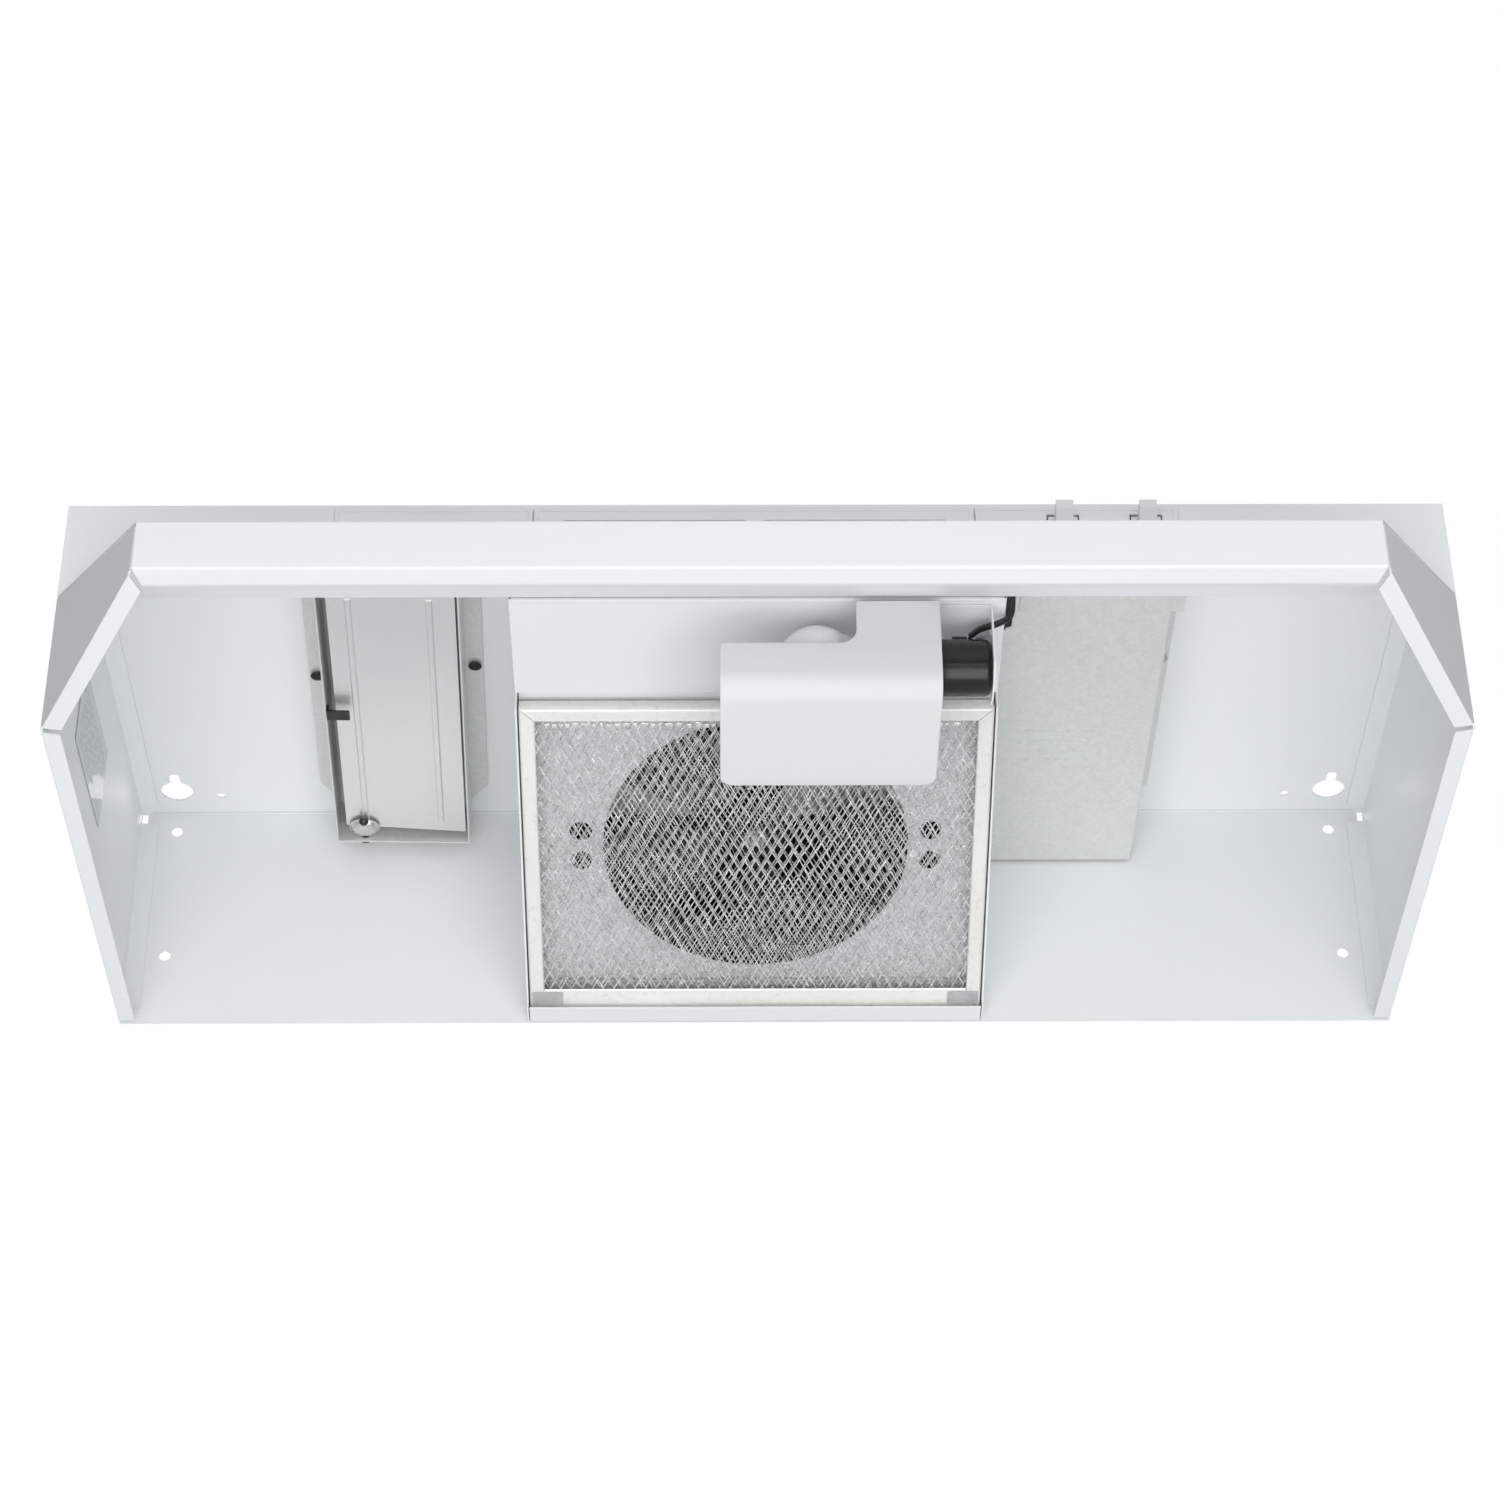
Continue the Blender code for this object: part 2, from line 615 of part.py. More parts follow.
def filter_retainers(slope):
    """Thin translucent clips hooked over the filter's rear corners."""
    for side, name in ((-1, "left"), (1, "right")):
        outer = side * (FILTER_WIDTH / 2 - 0.02 * INCH)
        inner = outer - side * 0.72 * INCH
        x = sorted((outer, inner))
        bm = box(x, (-0.62 * INCH, -0.42 * INCH), (-0.0013, -0.0004))
        solid(f"filter_retainer_{name}", bm, slope, finish="grey_plastic")


def orifice_plate(slope):
    """Sloping plate that runs in over the floor's rear edge, with a collar round the fan."""
    half = BOX_HALF - SHEET - GAP * 2
    low = ORIFICE_N
    sheet = box((-half, half), (-FILTER_LENGTH - 0.25 * INCH, -0.12 * INCH), (low, low + SHEET))
    plate = solid("orifice_plate", sheet, slope, finish="enamel")
    spot = (0, -ORIFICE_S, 0)
    cut(plate, prism(circle(ORIFICE_RADIUS + SHEET / 2, 48), "Z", low - THROUGH, low + THROUGH), spot)
    ring = [(ORIFICE_RADIUS, low), (ORIFICE_RADIUS, COLLAR_TOP)]
    ring += [(ORIFICE_RADIUS + SHEET, COLLAR_TOP), (ORIFICE_RADIUS + SHEET, low)]
    join(plate, turned(ring, 48, closed=True), spot)
    holes = bmesh.new()
    x, shift = PLATE_HOLE
    for place in ((-x, -shift), (-x, shift), (x, -shift), (x, shift)):
        centre = (place[0], place[1] - ORIFICE_S)
        prism(circle(PLATE_HOLE_RADIUS, 16, centre), "Z", low - THROUGH, low + THROUGH, holes)
    cut(plate, holes)


def fan_motor(slope):
    """Strap across the collar, with a shaded pole motor standing on it."""
    foot = ORIFICE_N + SHEET + GAP
    base = -ORIFICE_S
    line = [(-BRACKET_REACH, foot), (-BRACKET_LEG, foot), (-BRACKET_LEG, BRACKET_TOP)]
    line += [(BRACKET_LEG, BRACKET_TOP), (BRACKET_LEG, foot), (BRACKET_REACH, foot)]
    strap = prism(strip(line, BRACKET_SHEET), "Y", base - BRACKET_HALF, base + BRACKET_HALF)
    bracket = solid("motor_bracket", strap, slope, finish="galvanised")
    centre = circle(0.34 * INCH, 20, (0, base))
    cut(bracket, prism(centre, "Z", BRACKET_TOP - THROUGH, BRACKET_TOP + THROUGH))
    holes = bmesh.new()
    for side in (-1, 1):
        hole = circle(0.09 * INCH, 12, (side * BRACKET_SCREW_X, base))
        prism(hole, "Z", foot - THROUGH, foot + THROUGH, holes)
    cut(bracket, holes)
    head = foot + BRACKET_SHEET + GAP
    profile = [(0, head + 0.0022), (0.0025, head + 0.002), (0.0038, head + 0.001), (0.0038, head)]
    profile += [(0.0018, head), (0.0018, foot - 0.0001), (0, foot - 0.0001)]
    for side, name in ((-1, "left"), (1, "right")):
        spot = (side * BRACKET_SCREW_X, base, 0)
        solid(f"bracket_screw_{name}", turned(profile, 12), slope, spot, "steel", True)
    motor_parts(slope, base)


def motor_parts(slope, base):
    spot = (0, base, 0)
    front = BRACKET_TOP + BRACKET_SHEET + GAP
    stator = (front + 0.2 * INCH, front + 0.9 * INCH)
    block = 1.1 * INCH
    bore = 0.62 * INCH
    iron = solid("motor_stator", box((-block, block), (-block, block), stator), slope, spot, "steel")
    cut(iron, prism(circle(bore, 24), "Z", stator[0] - THROUGH, stator[1] + THROUGH), spot)
    winding = box(
        (-0.75 * INCH, 0.75 * INCH),
        (block + GAP, block + 0.5 * INCH),
        (stator[0] - 0.001, stator[1] + 0.001),
    )
    coil = solid("motor_coil", winding, slope, spot, "copper")
    rounding = coil.modifiers.new("rounding", "BEVEL")
    rounding.width = 0.002
    rounding.segments = 2
    hole = SHAFT_RADIUS + 2 * GAP + 0.003
    for name, low in (("front", front), ("rear", stator[1] + GAP)):
        high = low + 0.06 * INCH
        bar = box((-block, block), (-0.3 * INCH, 0.3 * INCH), (low, high))
        bridge = solid(f"motor_{name}_bridge", bar, slope, spot, "galvanised")
        cut(bridge, prism(circle(hole + GAP, 20), "Z", low - THROUGH, high + THROUGH), spot)
        if name == "front":
            legs = bmesh.new()
            for side in (-1, 1):
                x = sorted((side * block, side * (block - 0.2 * INCH)))
                box(x, (-0.3 * INCH, 0.3 * INCH), (high - 0.0005, stator[0] - GAP), legs)
            join(bridge, legs, spot)
        ring = [(SHAFT_RADIUS + GAP, low - 0.0001), (SHAFT_RADIUS + GAP, high + 0.002)]
        ring += [(hole, high + 0.002), (hole, low - 0.0001)]
        solid(f"{name}_bearing", turned(ring, 20, closed=True), slope, spot, "bronze", True)
    rotor = (stator[0] + 0.002, stator[1] - 0.001)
    ring = [(SHAFT_RADIUS + GAP, rotor[0]), (SHAFT_RADIUS + GAP, rotor[1])]
    ring += [(bore - 0.0007, rotor[1]), (bore - 0.0007, rotor[0])]
    solid("motor_rotor", turned(ring, 24, closed=True), slope, spot, "steel", True)
    shaft = (0.72 * INCH, stator[1] + 0.2 * INCH)
    profile = [(0, shaft[0]), (SHAFT_RADIUS, shaft[0]), (SHAFT_RADIUS, shaft[1]), (0, shaft[1])]
    solid("motor_shaft", turned(profile, 20), slope, spot, "steel", True)
    hexagon = prism(circle(0.26 * INCH, 6), "Z", 0.78 * INCH, 0.97 * INCH)
    nut = solid("impeller_nut", hexagon, slope, spot, "steel")
    cut(nut, prism(circle(SHAFT_RADIUS + GAP, 20), "Z", 0.7 * INCH, 1.1 * INCH), spot)


def impeller(slope):
    """Moulded fan wheel: a cupped hub and twisted blades."""
    spot = (0, -ORIFICE_S, 0)
    low = 1.0 * INCH
    high = 1.75 * INCH
    wall = 0.05 * INCH
    rim = SHAFT_RADIUS + GAP
    hub = [(rim, low), (HUB_RADIUS - wall, low), (HUB_RADIUS, low + wall), (HUB_RADIUS, high)]
    hub += [(HUB_RADIUS - wall, high), (HUB_RADIUS - wall, low + wall), (0.3 * INCH, low + wall)]
    hub += [(0.3 * INCH, high), (rim, high)]
    wheel = solid("impeller", turned(hub, 30, closed=True), slope, spot, "black_plastic", True)
    blades = bmesh.new()
    for blade in range(BLADES):
        add_blade(blades, math.tau * blade / BLADES, low + 0.12 * INCH, high - 0.1 * INCH)
    join(wheel, blades, spot)


def add_blade(bm, start, low, high, across=5, along=4):
    """One blade: a twisted plate from inside the hub's wall to the fan's radius, with two faces."""
    sheets = []
    for offset in (-0.0006, 0.0006):
        sheet = []
        for i in range(along + 1):
            share = i / along
            radius = (HUB_RADIUS - 0.0008) + (FAN_RADIUS - HUB_RADIUS) * share
            sweep = math.radians(34 + 12 * share)
            row = []
            for j in range(across + 1):
                chord = j / across
                turn = start + sweep * (chord - 0.5) + math.radians(10) * share
                camber = 0.0025 * math.sin(math.pi * chord) * (1 - 0.4 * share)
                height = low + (high - low) * (0.5 + (chord - 0.5) * (1 - 0.45 * share)) + camber + offset
                row.append(bm.verts.new((radius * math.cos(turn), radius * math.sin(turn), height)))
            sheet.append(row)
        sheets.append(sheet)
    for sheet in sheets:
        for i in range(along):
            for j in range(across):
                bm.faces.new((sheet[i][j], sheet[i][j + 1], sheet[i + 1][j + 1], sheet[i + 1][j]))
    lower, upper = sheets
    border = [(0, j) for j in range(across)] + [(i, across) for i in range(along)]
    border += [(along, j) for j in range(across, 0, -1)] + [(i, 0) for i in range(along, 0, -1)]
    for (i, j), (k, m) in zip(border, border[1:] + border[:1]):
        bm.faces.new((lower[i][j], lower[k][m], upper[k][m], upper[i][j]))


def grease_filter(slope):
    half = FILTER_WIDTH / 2
    length = -FILTER_LENGTH
    rim = FILTER_RIM
    wall = FOIL
    slab = box((-half, half), (length, 0), (0, FILTER_THICKNESS))
    frame = solid("filter_frame", slab, slope, finish="aluminium")
    through = (-THROUGH, FILTER_THICKNESS + THROUGH)
    opening = box((-half + rim, half - rim), (length + rim, -FILTER_REAR_RIM), through)
    channel = box((-half + wall, half - wall), (length + wall, -wall), (wall, FILTER_THICKNESS - wall))
    cut(frame, opening)
    cut(frame, channel)
    inset = wall + GAP
    pad = box((-half + inset, half - inset), (length + inset, -inset), (inset, FILTER_THICKNESS - inset))
    solid("filter_mesh", pad, slope, finish="aluminium")


def lamp(hood):
    """Screw socket on its bracket, with a round bulb lying along X."""
    spot = (0, -LAMP_DEPTH, LAMP_HEIGHT)
    low, high = SOCKET_ENDS
    bore = 0.545 * INCH
    profile = [(0, high), (SOCKET_RADIUS - 0.002, high), (SOCKET_RADIUS, high - 0.002), (SOCKET_RADIUS, low)]
    profile += [(bore, low), (bore, high - 0.35 * INCH), (0, high - 0.35 * INCH)]
    solid("lamp_socket", turned(profile, 28, axis="X"), hood, spot, "black_plastic", True)
    base = [(0, 3.98 * INCH), (0.3 * INCH, 3.95 * INCH), (0.5 * INCH, 3.8 * INCH), (0.5 * INCH, 2.94 * INCH)]
    base += [(0.44 * INCH, 2.94 * INCH), (0.44 * INCH, 3.7 * INCH), (0, 3.7 * INCH)]
    solid("bulb_base", turned(base, 24, axis="X"), hood, spot, "aluminium", True)
    globe = [(0, GLOBE_X - GLOBE_RADIUS)]
    for degrees in range(20, 131, 22):
        turn = math.radians(degrees)
        globe.append((GLOBE_RADIUS * math.sin(turn), GLOBE_X - GLOBE_RADIUS * math.cos(turn)))
    globe += [(0.49 * INCH, 2.35 * INCH), (0.42 * INCH, 2.7 * INCH), (0.41 * INCH, 3.4 * INCH)]
    globe.append((0, 3.4 * INCH))
    solid("bulb_glass", turned(globe, 28, axis="X"), hood, spot, "glass", True)
    plate = FLOOR_HEIGHT - 0.0004
    ear = 5.06 * INCH
    rear = -9.0 * INCH
    front = -11.75 * INCH
    left = 3.75 * INCH
    shoulder = 1.9 * INCH
    tip = 1.66 * INCH
    faces = [
        [(left, front, plate), (ear, front, plate), (ear, rear - 1.1 * INCH, plate),
         (ear, rear, plate), (left, rear, plate)],
        [(ear, front, plate), (ear, rear - 1.1 * INCH, plate), (ear, rear - 1.2 * INCH, shoulder),
         (ear, -10.7 * INCH, tip), (ear, -11.3 * INCH, tip), (ear, front, shoulder)],
    ]
    bracket = folded_sheet("socket_bracket", faces, "enamel", hood, (0, 0, 1), bend=0.001)
    rivet = circle(0.11 * INCH, 12, (4.85 * INCH, -10.6 * INCH))
    cut(bracket, prism(rivet, "Z", plate - THROUGH, plate + THROUGH))
    leads = circle(0.2 * INCH, 12, (-11.38 * INCH, 3.13 * INCH))
    cut(bracket, prism(leads, "X", ear - THROUGH, ear + THROUGH))


def lamp_lens(hood):
    """J shaped frosted tray: front wall, wide bend, long bottom, and the arm that hooks under the floor."""
    low, high = LENS_X
    front = -LENS_FRONT
    rear = -LENS_REAR
    arm = LENS_ARM_X
    fillet = 0.35 * INCH
    corner = 0.3 * INCH
    sweep = circle(fillet, 5, (arm - fillet, LENS_TOP + fillet), 0, -math.pi / 2)
    right = circle(corner, 5, (high - corner, rear - corner), 0, math.pi / 2)
    left = circle(corner, 5, (low + corner, rear - corner), math.pi / 2, math.pi / 2)
    tab = front + 0.8 * INCH
    faces = [
        [(low, front, LENS_BOTTOM), (high, front, LENS_BOTTOM), (high, front, LENS_ARM_TOP),
         (arm, front, LENS_ARM_TOP), *[(x, front, z) for x, z in sweep], (low, front, LENS_TOP)],
        [(low, front, LENS_BOTTOM), (high, front, LENS_BOTTOM),
         *[(x, y, LENS_BOTTOM) for x, y in right + left]],
        [(arm, front, LENS_ARM_TOP), (high, front, LENS_ARM_TOP),
         (high, tab, LENS_ARM_TOP), (arm, tab, LENS_ARM_TOP)],
    ]
    folded_sheet("lamp_lens", faces, "frosted_plastic", hood, (0, -1, 0), LENS_WALL, LENS_BEND, 6)


def wiring_cover(hood):
    """Galvanised box under the right side of the canopy, notched at its front left for the leads."""
    low, high = COVER_X
    notch, notch_depth = COVER_NOTCH
    front = -BODY_DEPTH + SHEET + 0.002
    rear = -0.12 * INCH
    height = COVER_HEIGHT
    top = HEIGHT - LAP - SHEET
    tab = high + 0.4 * INCH
    start, end = (-depth for depth in COVER_FLANGE)
    curve = notch - low
    round_notch = [
        (notch - curve * math.cos(turn), -notch_depth - curve * math.sin(turn), height)
        for turn in (0.3, 0.8, 1.3)
    ]
    faces = [
        [(low, rear, height), (low, -notch_depth, height), *round_notch, (notch, front, height),
         (high, front, height), (high, end, height), (high, start, height), (high, rear, height)],
        [(high, front, height), (high, end, height), (high, start, height), (high, rear, height),
         (high, rear, top), (high, start, top), (high, end, top), (high, front, top)],
        [(high, start, top), (high, end, top), (tab, end, top), (tab, start, top)],
    ]
    cover = folded_sheet("wiring_cover", faces, "galvanised", hood, (0, 0, -1), bend=0.0012)
    cut(cover, prism(circle(TAPPING_HOLE, 12, COVER_SCREW), "Z", top - THROUGH, top + THROUGH))
    screw(hood, "wiring_cover_screw", COVER_SCREW, top - GAP, "steel")


def screw(parent, name, place, under, finish):
    """Pan head screw pointing up; under is the height of the face that it clamps."""
    profile = [(0, under - 0.0024), (0.0024, under - 0.0022), (0.004, under - 0.001), (0.004, under)]
    profile += [(0.0015, under), (0.0015, under + 0.0014), (0, under + 0.0014)]
    solid(name, turned(profile, 12), parent, (*place, 0), finish, True)


def wiring(hood):
    """Lamp leads up into the wiring box, motor leads through the grommet in the fan box wall."""
    y, z = GROMMET_PLACE
    wall = BOX_HALF - SHEET / 2
    inner = 0.17 * INCH
    hole = GROMMET_HOLE - GAP
    flange = GROMMET_HOLE + 0.0015
    half = SHEET / 2 + GAP
    outer = half + 0.0012
    ring = [(inner, wall - outer), (inner, wall + outer), (flange, wall + outer), (flange, wall + half)]
    ring += [(hole, wall + half), (hole, wall - half), (flange, wall - half), (flange, wall - outer)]
    solid("wire_grommet", turned(ring, 16, closed=True, axis="X"), hood, (0, y, z), "rubber", True)
    for name, shift in (("front", -LEAD_SPREAD), ("rear", LEAD_SPREAD)):
        route = [
            (4.55, -11.3, 2.9), (4.8, -11.35, 3.08), (5.2, -11.4, 3.2), (5.5, -11.4, 3.45),
            (5.55, -11.4, 4.0), (5.6, -11.35, 4.5), (5.72, -11.1, 4.9), (6.0, -10.85, 5.1),
            (6.3, -10.8, 5.15),
        ]
        points = [(x * INCH, depth * INCH + shift, height * INCH) for x, depth, height in route]
        wire(f"lamp_lead_{name}", points, LEAD_RADIUS, hood, 4)
        route = [
            (1.5, -3.6, 4.95), (2.2, -4.1, 5.15), (3.4, -5.1, 5.2), (4.6, -5.5, 5.2), (5.36, -5.5, 5.2),
            (6.0, -6.0, 5.2), (6.5, -8.0, 5.1), (6.6, -9.6, 5.0), (6.65, -10.85, 4.9),
        ]
        points = [(x * INCH, depth * INCH, height * INCH + shift) for x, depth, height in route]
        wire(f"motor_lead_{name}", points, LEAD_RADIUS, hood, 4)


def wiring_label(hood):
    inner = -WIDTH / 2 + SHEET + GAP
    label = box((inner, inner + 0.0004), (-8.7 * INCH, -5.2 * INCH), (2.1 * INCH, 4.2 * INCH))
    solid("wiring_label", label, hood, finish="paper")


def duct_connector(stowed):
    """Rectangular collar with side flanges, in its own frame: rim down, flanges up."""
    x, y = COLLAR_HALF
    low, high = COLLAR_HEIGHTS
    flange = x + COLLAR_FLANGE
    wall = SHEET
    tube = solid("duct_collar", box((-x, x), (-y, y), (low, high)), stowed, finish="galvanised")
    wings = [
        (-flange, -y + 0.5 * INCH), (-x, -y + 0.1 * INCH), (x, -y + 0.1 * INCH), (flange, -y + 0.5 * INCH),
        (flange, y - 0.9 * INCH), (x, y - 0.3 * INCH), (-x, y - 0.3 * INCH), (-flange, y - 0.9 * INCH),
    ]
    join(tube, prism(wings, "Z", high - wall, high))
    cut(tube, box((-x + wall, x - wall), (-y + wall, y - wall), (low - THROUGH, high + THROUGH)))
    holes = bmesh.new()
    for place in COLLAR_SCREWS:
        prism(circle(TAPPING_HOLE, 12, place), "Z", high - THROUGH, high + THROUGH, holes)
    cut(tube, holes)
    cut(tube, prism(circle(0.105 * INCH, 12, (FLAP_HINGE, FLAP_HEIGHT)), "Y", -y - THROUGH, y + THROUGH))
    damper(stowed)
    clip_x = -x + wall + GAP
    clip_z = low - 0.0016
    clip = strip([(clip_x, low + 0.14 * INCH), (clip_x, clip_z), (-1.02 * INCH, clip_z)], 0.0012)
    solid("damper_clip", prism(clip, "Y", -0.55 * INCH, -0.2 * INCH), stowed, finish="black_plastic")
    for place, name in zip(COLLAR_SCREWS, ("left", "right")):
        screw(stowed, f"collar_screw_{name}", place, high - wall - GAP, "black_plastic")


def damper(stowed):
    """Ribbed flap on two pins; its rear edge is cut at a slant."""
    left, right = (edge - FLAP_HINGE for edge in FLAP_EDGES)
    spot = (FLAP_HINGE, 0, FLAP_HEIGHT)
    outline = [(left, -FLAP_ENDS), (right, -FLAP_ENDS), (right, FLAP_ENDS), (left, FLAP_ENDS - FLAP_SLANT)]
    flap = solid("damper_flap", prism(outline, "Z", -0.0004, 0.0004), stowed, spot, "aluminium")
    ribs = bmesh.new()
    rib = strip([(-0.0022, 0), (-0.0012, -0.0012), (0.0012, -0.0012), (0.0022, 0)], 0.0012)
    for place in FLAP_RIBS:
        prism([(px + place - FLAP_HINGE, pz - 0.0002) for px, pz in rib], "Y", -4.5 * INCH, 4.3 * INCH, ribs)
    join(flap, ribs, spot)
    short = FLAP_SLANT * right / (right - left)
    tip = COLLAR_HALF[1] + 0.0012
    for side, name, edge in ((-1, "front", FLAP_ENDS), (1, "rear", FLAP_ENDS - short)):
        shank = prism(circle(PIVOT_RADIUS, 12), "Y", side * (edge + 0.0008), side * (tip + 0.0009))
        pivot = solid(f"damper_pivot_{name}", shank, stowed, spot, "black_plastic", True)
        join(pivot, prism(circle(PIVOT_HEAD, 12), "Y", side * tip, side * (tip + 0.0018)), spot)


def collar_to_hood(place):
    """A point of the stowed connector's frame, in the canopy's frame."""
    x, y = place
    turned_x = x * math.cos(COLLAR_TURN) - y * math.sin(COLLAR_TURN)
    turned_y = x * math.sin(COLLAR_TURN) + y * math.cos(COLLAR_TURN)
    return COLLAR_CENTRE[0] + turned_x, -COLLAR_CENTRE[1] + turned_y


def main():
    clear_scene()
    hood = empty("hood_frame", (0, DEPTH / 2, -HEIGHT))
    start, rise = SLOPE_START
    slope = empty("slope_frame", (0, -start, rise), (-SLOPE_ANGLE, 0, 0), hood)
    stowed = empty("stowed_frame", (COLLAR_CENTRE[0], -COLLAR_CENTRE[1], 0), (0, 0, COLLAR_TURN), hood)
    top_back_panel(hood)
    knockouts(hood)
    front_visor(hood)
    side_panel(hood, "left_side_panel", -1)
    side_panel(hood, "right_side_panel", 1)
    front_trim(hood)
    for name in ROCKER_X:
        rocker_switch(hood, name)
    fan_housing(hood)
    orifice_plate(slope)
    filter_ledge(hood)
    filter_retainers(slope)
    fan_motor(slope)
    impeller(slope)
    grease_filter(slope)
    lamp(hood)
    lamp_lens(hood)
    wiring_cover(hood)
    wiring(hood)
    wiring_label(hood)
    duct_connector(stowed)


main()
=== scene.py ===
"""Looks of the under cabinet range hood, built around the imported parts.

Hood coordinates: x to the right, t forward from the wall, z up from the rim, all in inches.
"""

import json
import math
import random

import bmesh
import bpy
from mathutils import Matrix, Vector

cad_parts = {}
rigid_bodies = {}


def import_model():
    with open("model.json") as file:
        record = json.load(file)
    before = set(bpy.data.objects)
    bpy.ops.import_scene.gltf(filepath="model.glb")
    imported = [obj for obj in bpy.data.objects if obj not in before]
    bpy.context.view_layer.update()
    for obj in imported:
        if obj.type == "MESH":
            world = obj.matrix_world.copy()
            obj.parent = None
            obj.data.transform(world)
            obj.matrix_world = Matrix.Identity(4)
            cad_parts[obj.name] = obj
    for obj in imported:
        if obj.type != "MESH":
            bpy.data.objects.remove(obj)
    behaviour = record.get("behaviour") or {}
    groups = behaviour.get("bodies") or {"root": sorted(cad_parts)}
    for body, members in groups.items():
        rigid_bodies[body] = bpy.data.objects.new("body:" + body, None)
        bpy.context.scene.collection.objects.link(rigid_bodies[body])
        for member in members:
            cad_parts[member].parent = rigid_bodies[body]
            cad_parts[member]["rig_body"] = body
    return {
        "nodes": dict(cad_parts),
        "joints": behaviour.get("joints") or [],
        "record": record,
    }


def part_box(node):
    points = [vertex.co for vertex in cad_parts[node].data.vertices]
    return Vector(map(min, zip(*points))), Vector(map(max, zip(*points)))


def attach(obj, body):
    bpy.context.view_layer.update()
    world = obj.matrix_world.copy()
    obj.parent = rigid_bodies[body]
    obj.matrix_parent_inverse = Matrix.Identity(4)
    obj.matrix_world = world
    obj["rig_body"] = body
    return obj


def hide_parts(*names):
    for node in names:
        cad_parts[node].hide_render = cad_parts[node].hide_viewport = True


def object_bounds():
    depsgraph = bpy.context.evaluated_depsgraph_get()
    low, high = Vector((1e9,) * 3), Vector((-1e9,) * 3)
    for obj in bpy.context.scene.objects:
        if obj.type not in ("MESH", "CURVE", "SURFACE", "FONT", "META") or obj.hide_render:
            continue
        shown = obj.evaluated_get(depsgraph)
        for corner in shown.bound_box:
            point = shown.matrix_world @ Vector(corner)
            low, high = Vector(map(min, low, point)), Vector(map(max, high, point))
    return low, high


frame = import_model()
CAD_LOW, CAD_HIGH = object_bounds()

INCH = 0.0254
MM = 0.001
WALL_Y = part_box("top_back_panel")[1].y
RIM_Z = CAD_LOW.z
JOINTS = {joint["name"]: joint for joint in frame["joints"]}

# The sloping filter: pivot at its rear edge, its normal along the fan's axis
SLOPE_ORIGIN = Vector(JOINTS["filter_tilt"]["pos_m"])
SLOPE_NORMAL = Vector(JOINTS["fan_spin"]["axis"]).normalized()
SLOPE_FORWARD = Vector((1, 0, 0)).cross(SLOPE_NORMAL)

# The stowed duct connector: pivot line of its flap
FLAP_PIVOT = Vector(JOINTS["damper_swing"]["pos_m"])
FLAP_AXIS = Vector(JOINTS["damper_swing"]["axis"]).normalized()

# Studio: the world's strength in front and at the sides, and between which x it fades
FLOOR_Z = RIM_Z - 1.95
FLOOR_HALF = 4
WORLD_FRONT = 0.85
WORLD_SIDE = 0.1
WORLD_FADE = (0.3, 0.8)

# Camera, solved from the hood's corners, rims and holes
CAMERA_PLACE = (-0.020125, -1.653767, -1.261459)
CAMERA_LENS = 86.99
CAMERA_RISE = math.radians(34.88676)
CAMERA_YAW = math.radians(0.4595)
CAMERA_ROLL = math.radians(-0.12589)


def hood(x, t, z):
    """A point given in hood coordinates, in inches."""
    return Vector((x * INCH, WALL_Y - t * INCH, RIM_Z + z * INCH))


def on_slope(x, s, n):
    """A point s up the filter from its pivot and n above its lower face, in metres."""
    return SLOPE_ORIGIN + Vector((x, 0, 0)) + SLOPE_FORWARD * s + SLOPE_NORMAL * n


def to_slope(point):
    return on_slope(*point)


# ---------------------------------------------------------------- camera, light and floor


def make_camera():
    forward = Vector((0, math.cos(CAMERA_RISE), math.sin(CAMERA_RISE)))
    up = Vector((0, -math.sin(CAMERA_RISE), math.cos(CAMERA_RISE)))
    right = Vector((1, 0, 0))
    ahead = forward * math.cos(CAMERA_YAW) + right * math.sin(CAMERA_YAW)
    side = right * math.cos(CAMERA_YAW) - forward * math.sin(CAMERA_YAW)
    rolled = side * math.cos(CAMERA_ROLL) + up * math.sin(CAMERA_ROLL)
    above = up * math.cos(CAMERA_ROLL) - side * math.sin(CAMERA_ROLL)
    data = bpy.data.cameras.new("camera")
    data.lens = CAMERA_LENS
    data.sensor_width = 36
    data.clip_start = 0.05
    camera = bpy.data.objects.new("camera", data)
    turn = Matrix((rolled, above, -ahead)).transposed()
    camera.matrix_world = Matrix.Translation(CAMERA_PLACE) @ turn.to_4x4()
    bpy.context.scene.collection.objects.link(camera)
    bpy.context.scene.camera = camera


def add_light(name, place, target, size, power, tint=(1, 1, 1)):
    data = bpy.data.lights.new(name, "AREA")
    data.shape = "RECTANGLE"
    data.size, data.size_y = size
    data.energy = power
    data.color = tint
    light = bpy.data.objects.new(name, data)
    light.location = place
    aim = Vector(target) - Vector(place)
    light.rotation_euler = aim.to_track_quat("-Z", "Y").to_euler()
    bpy.context.scene.collection.objects.link(light)


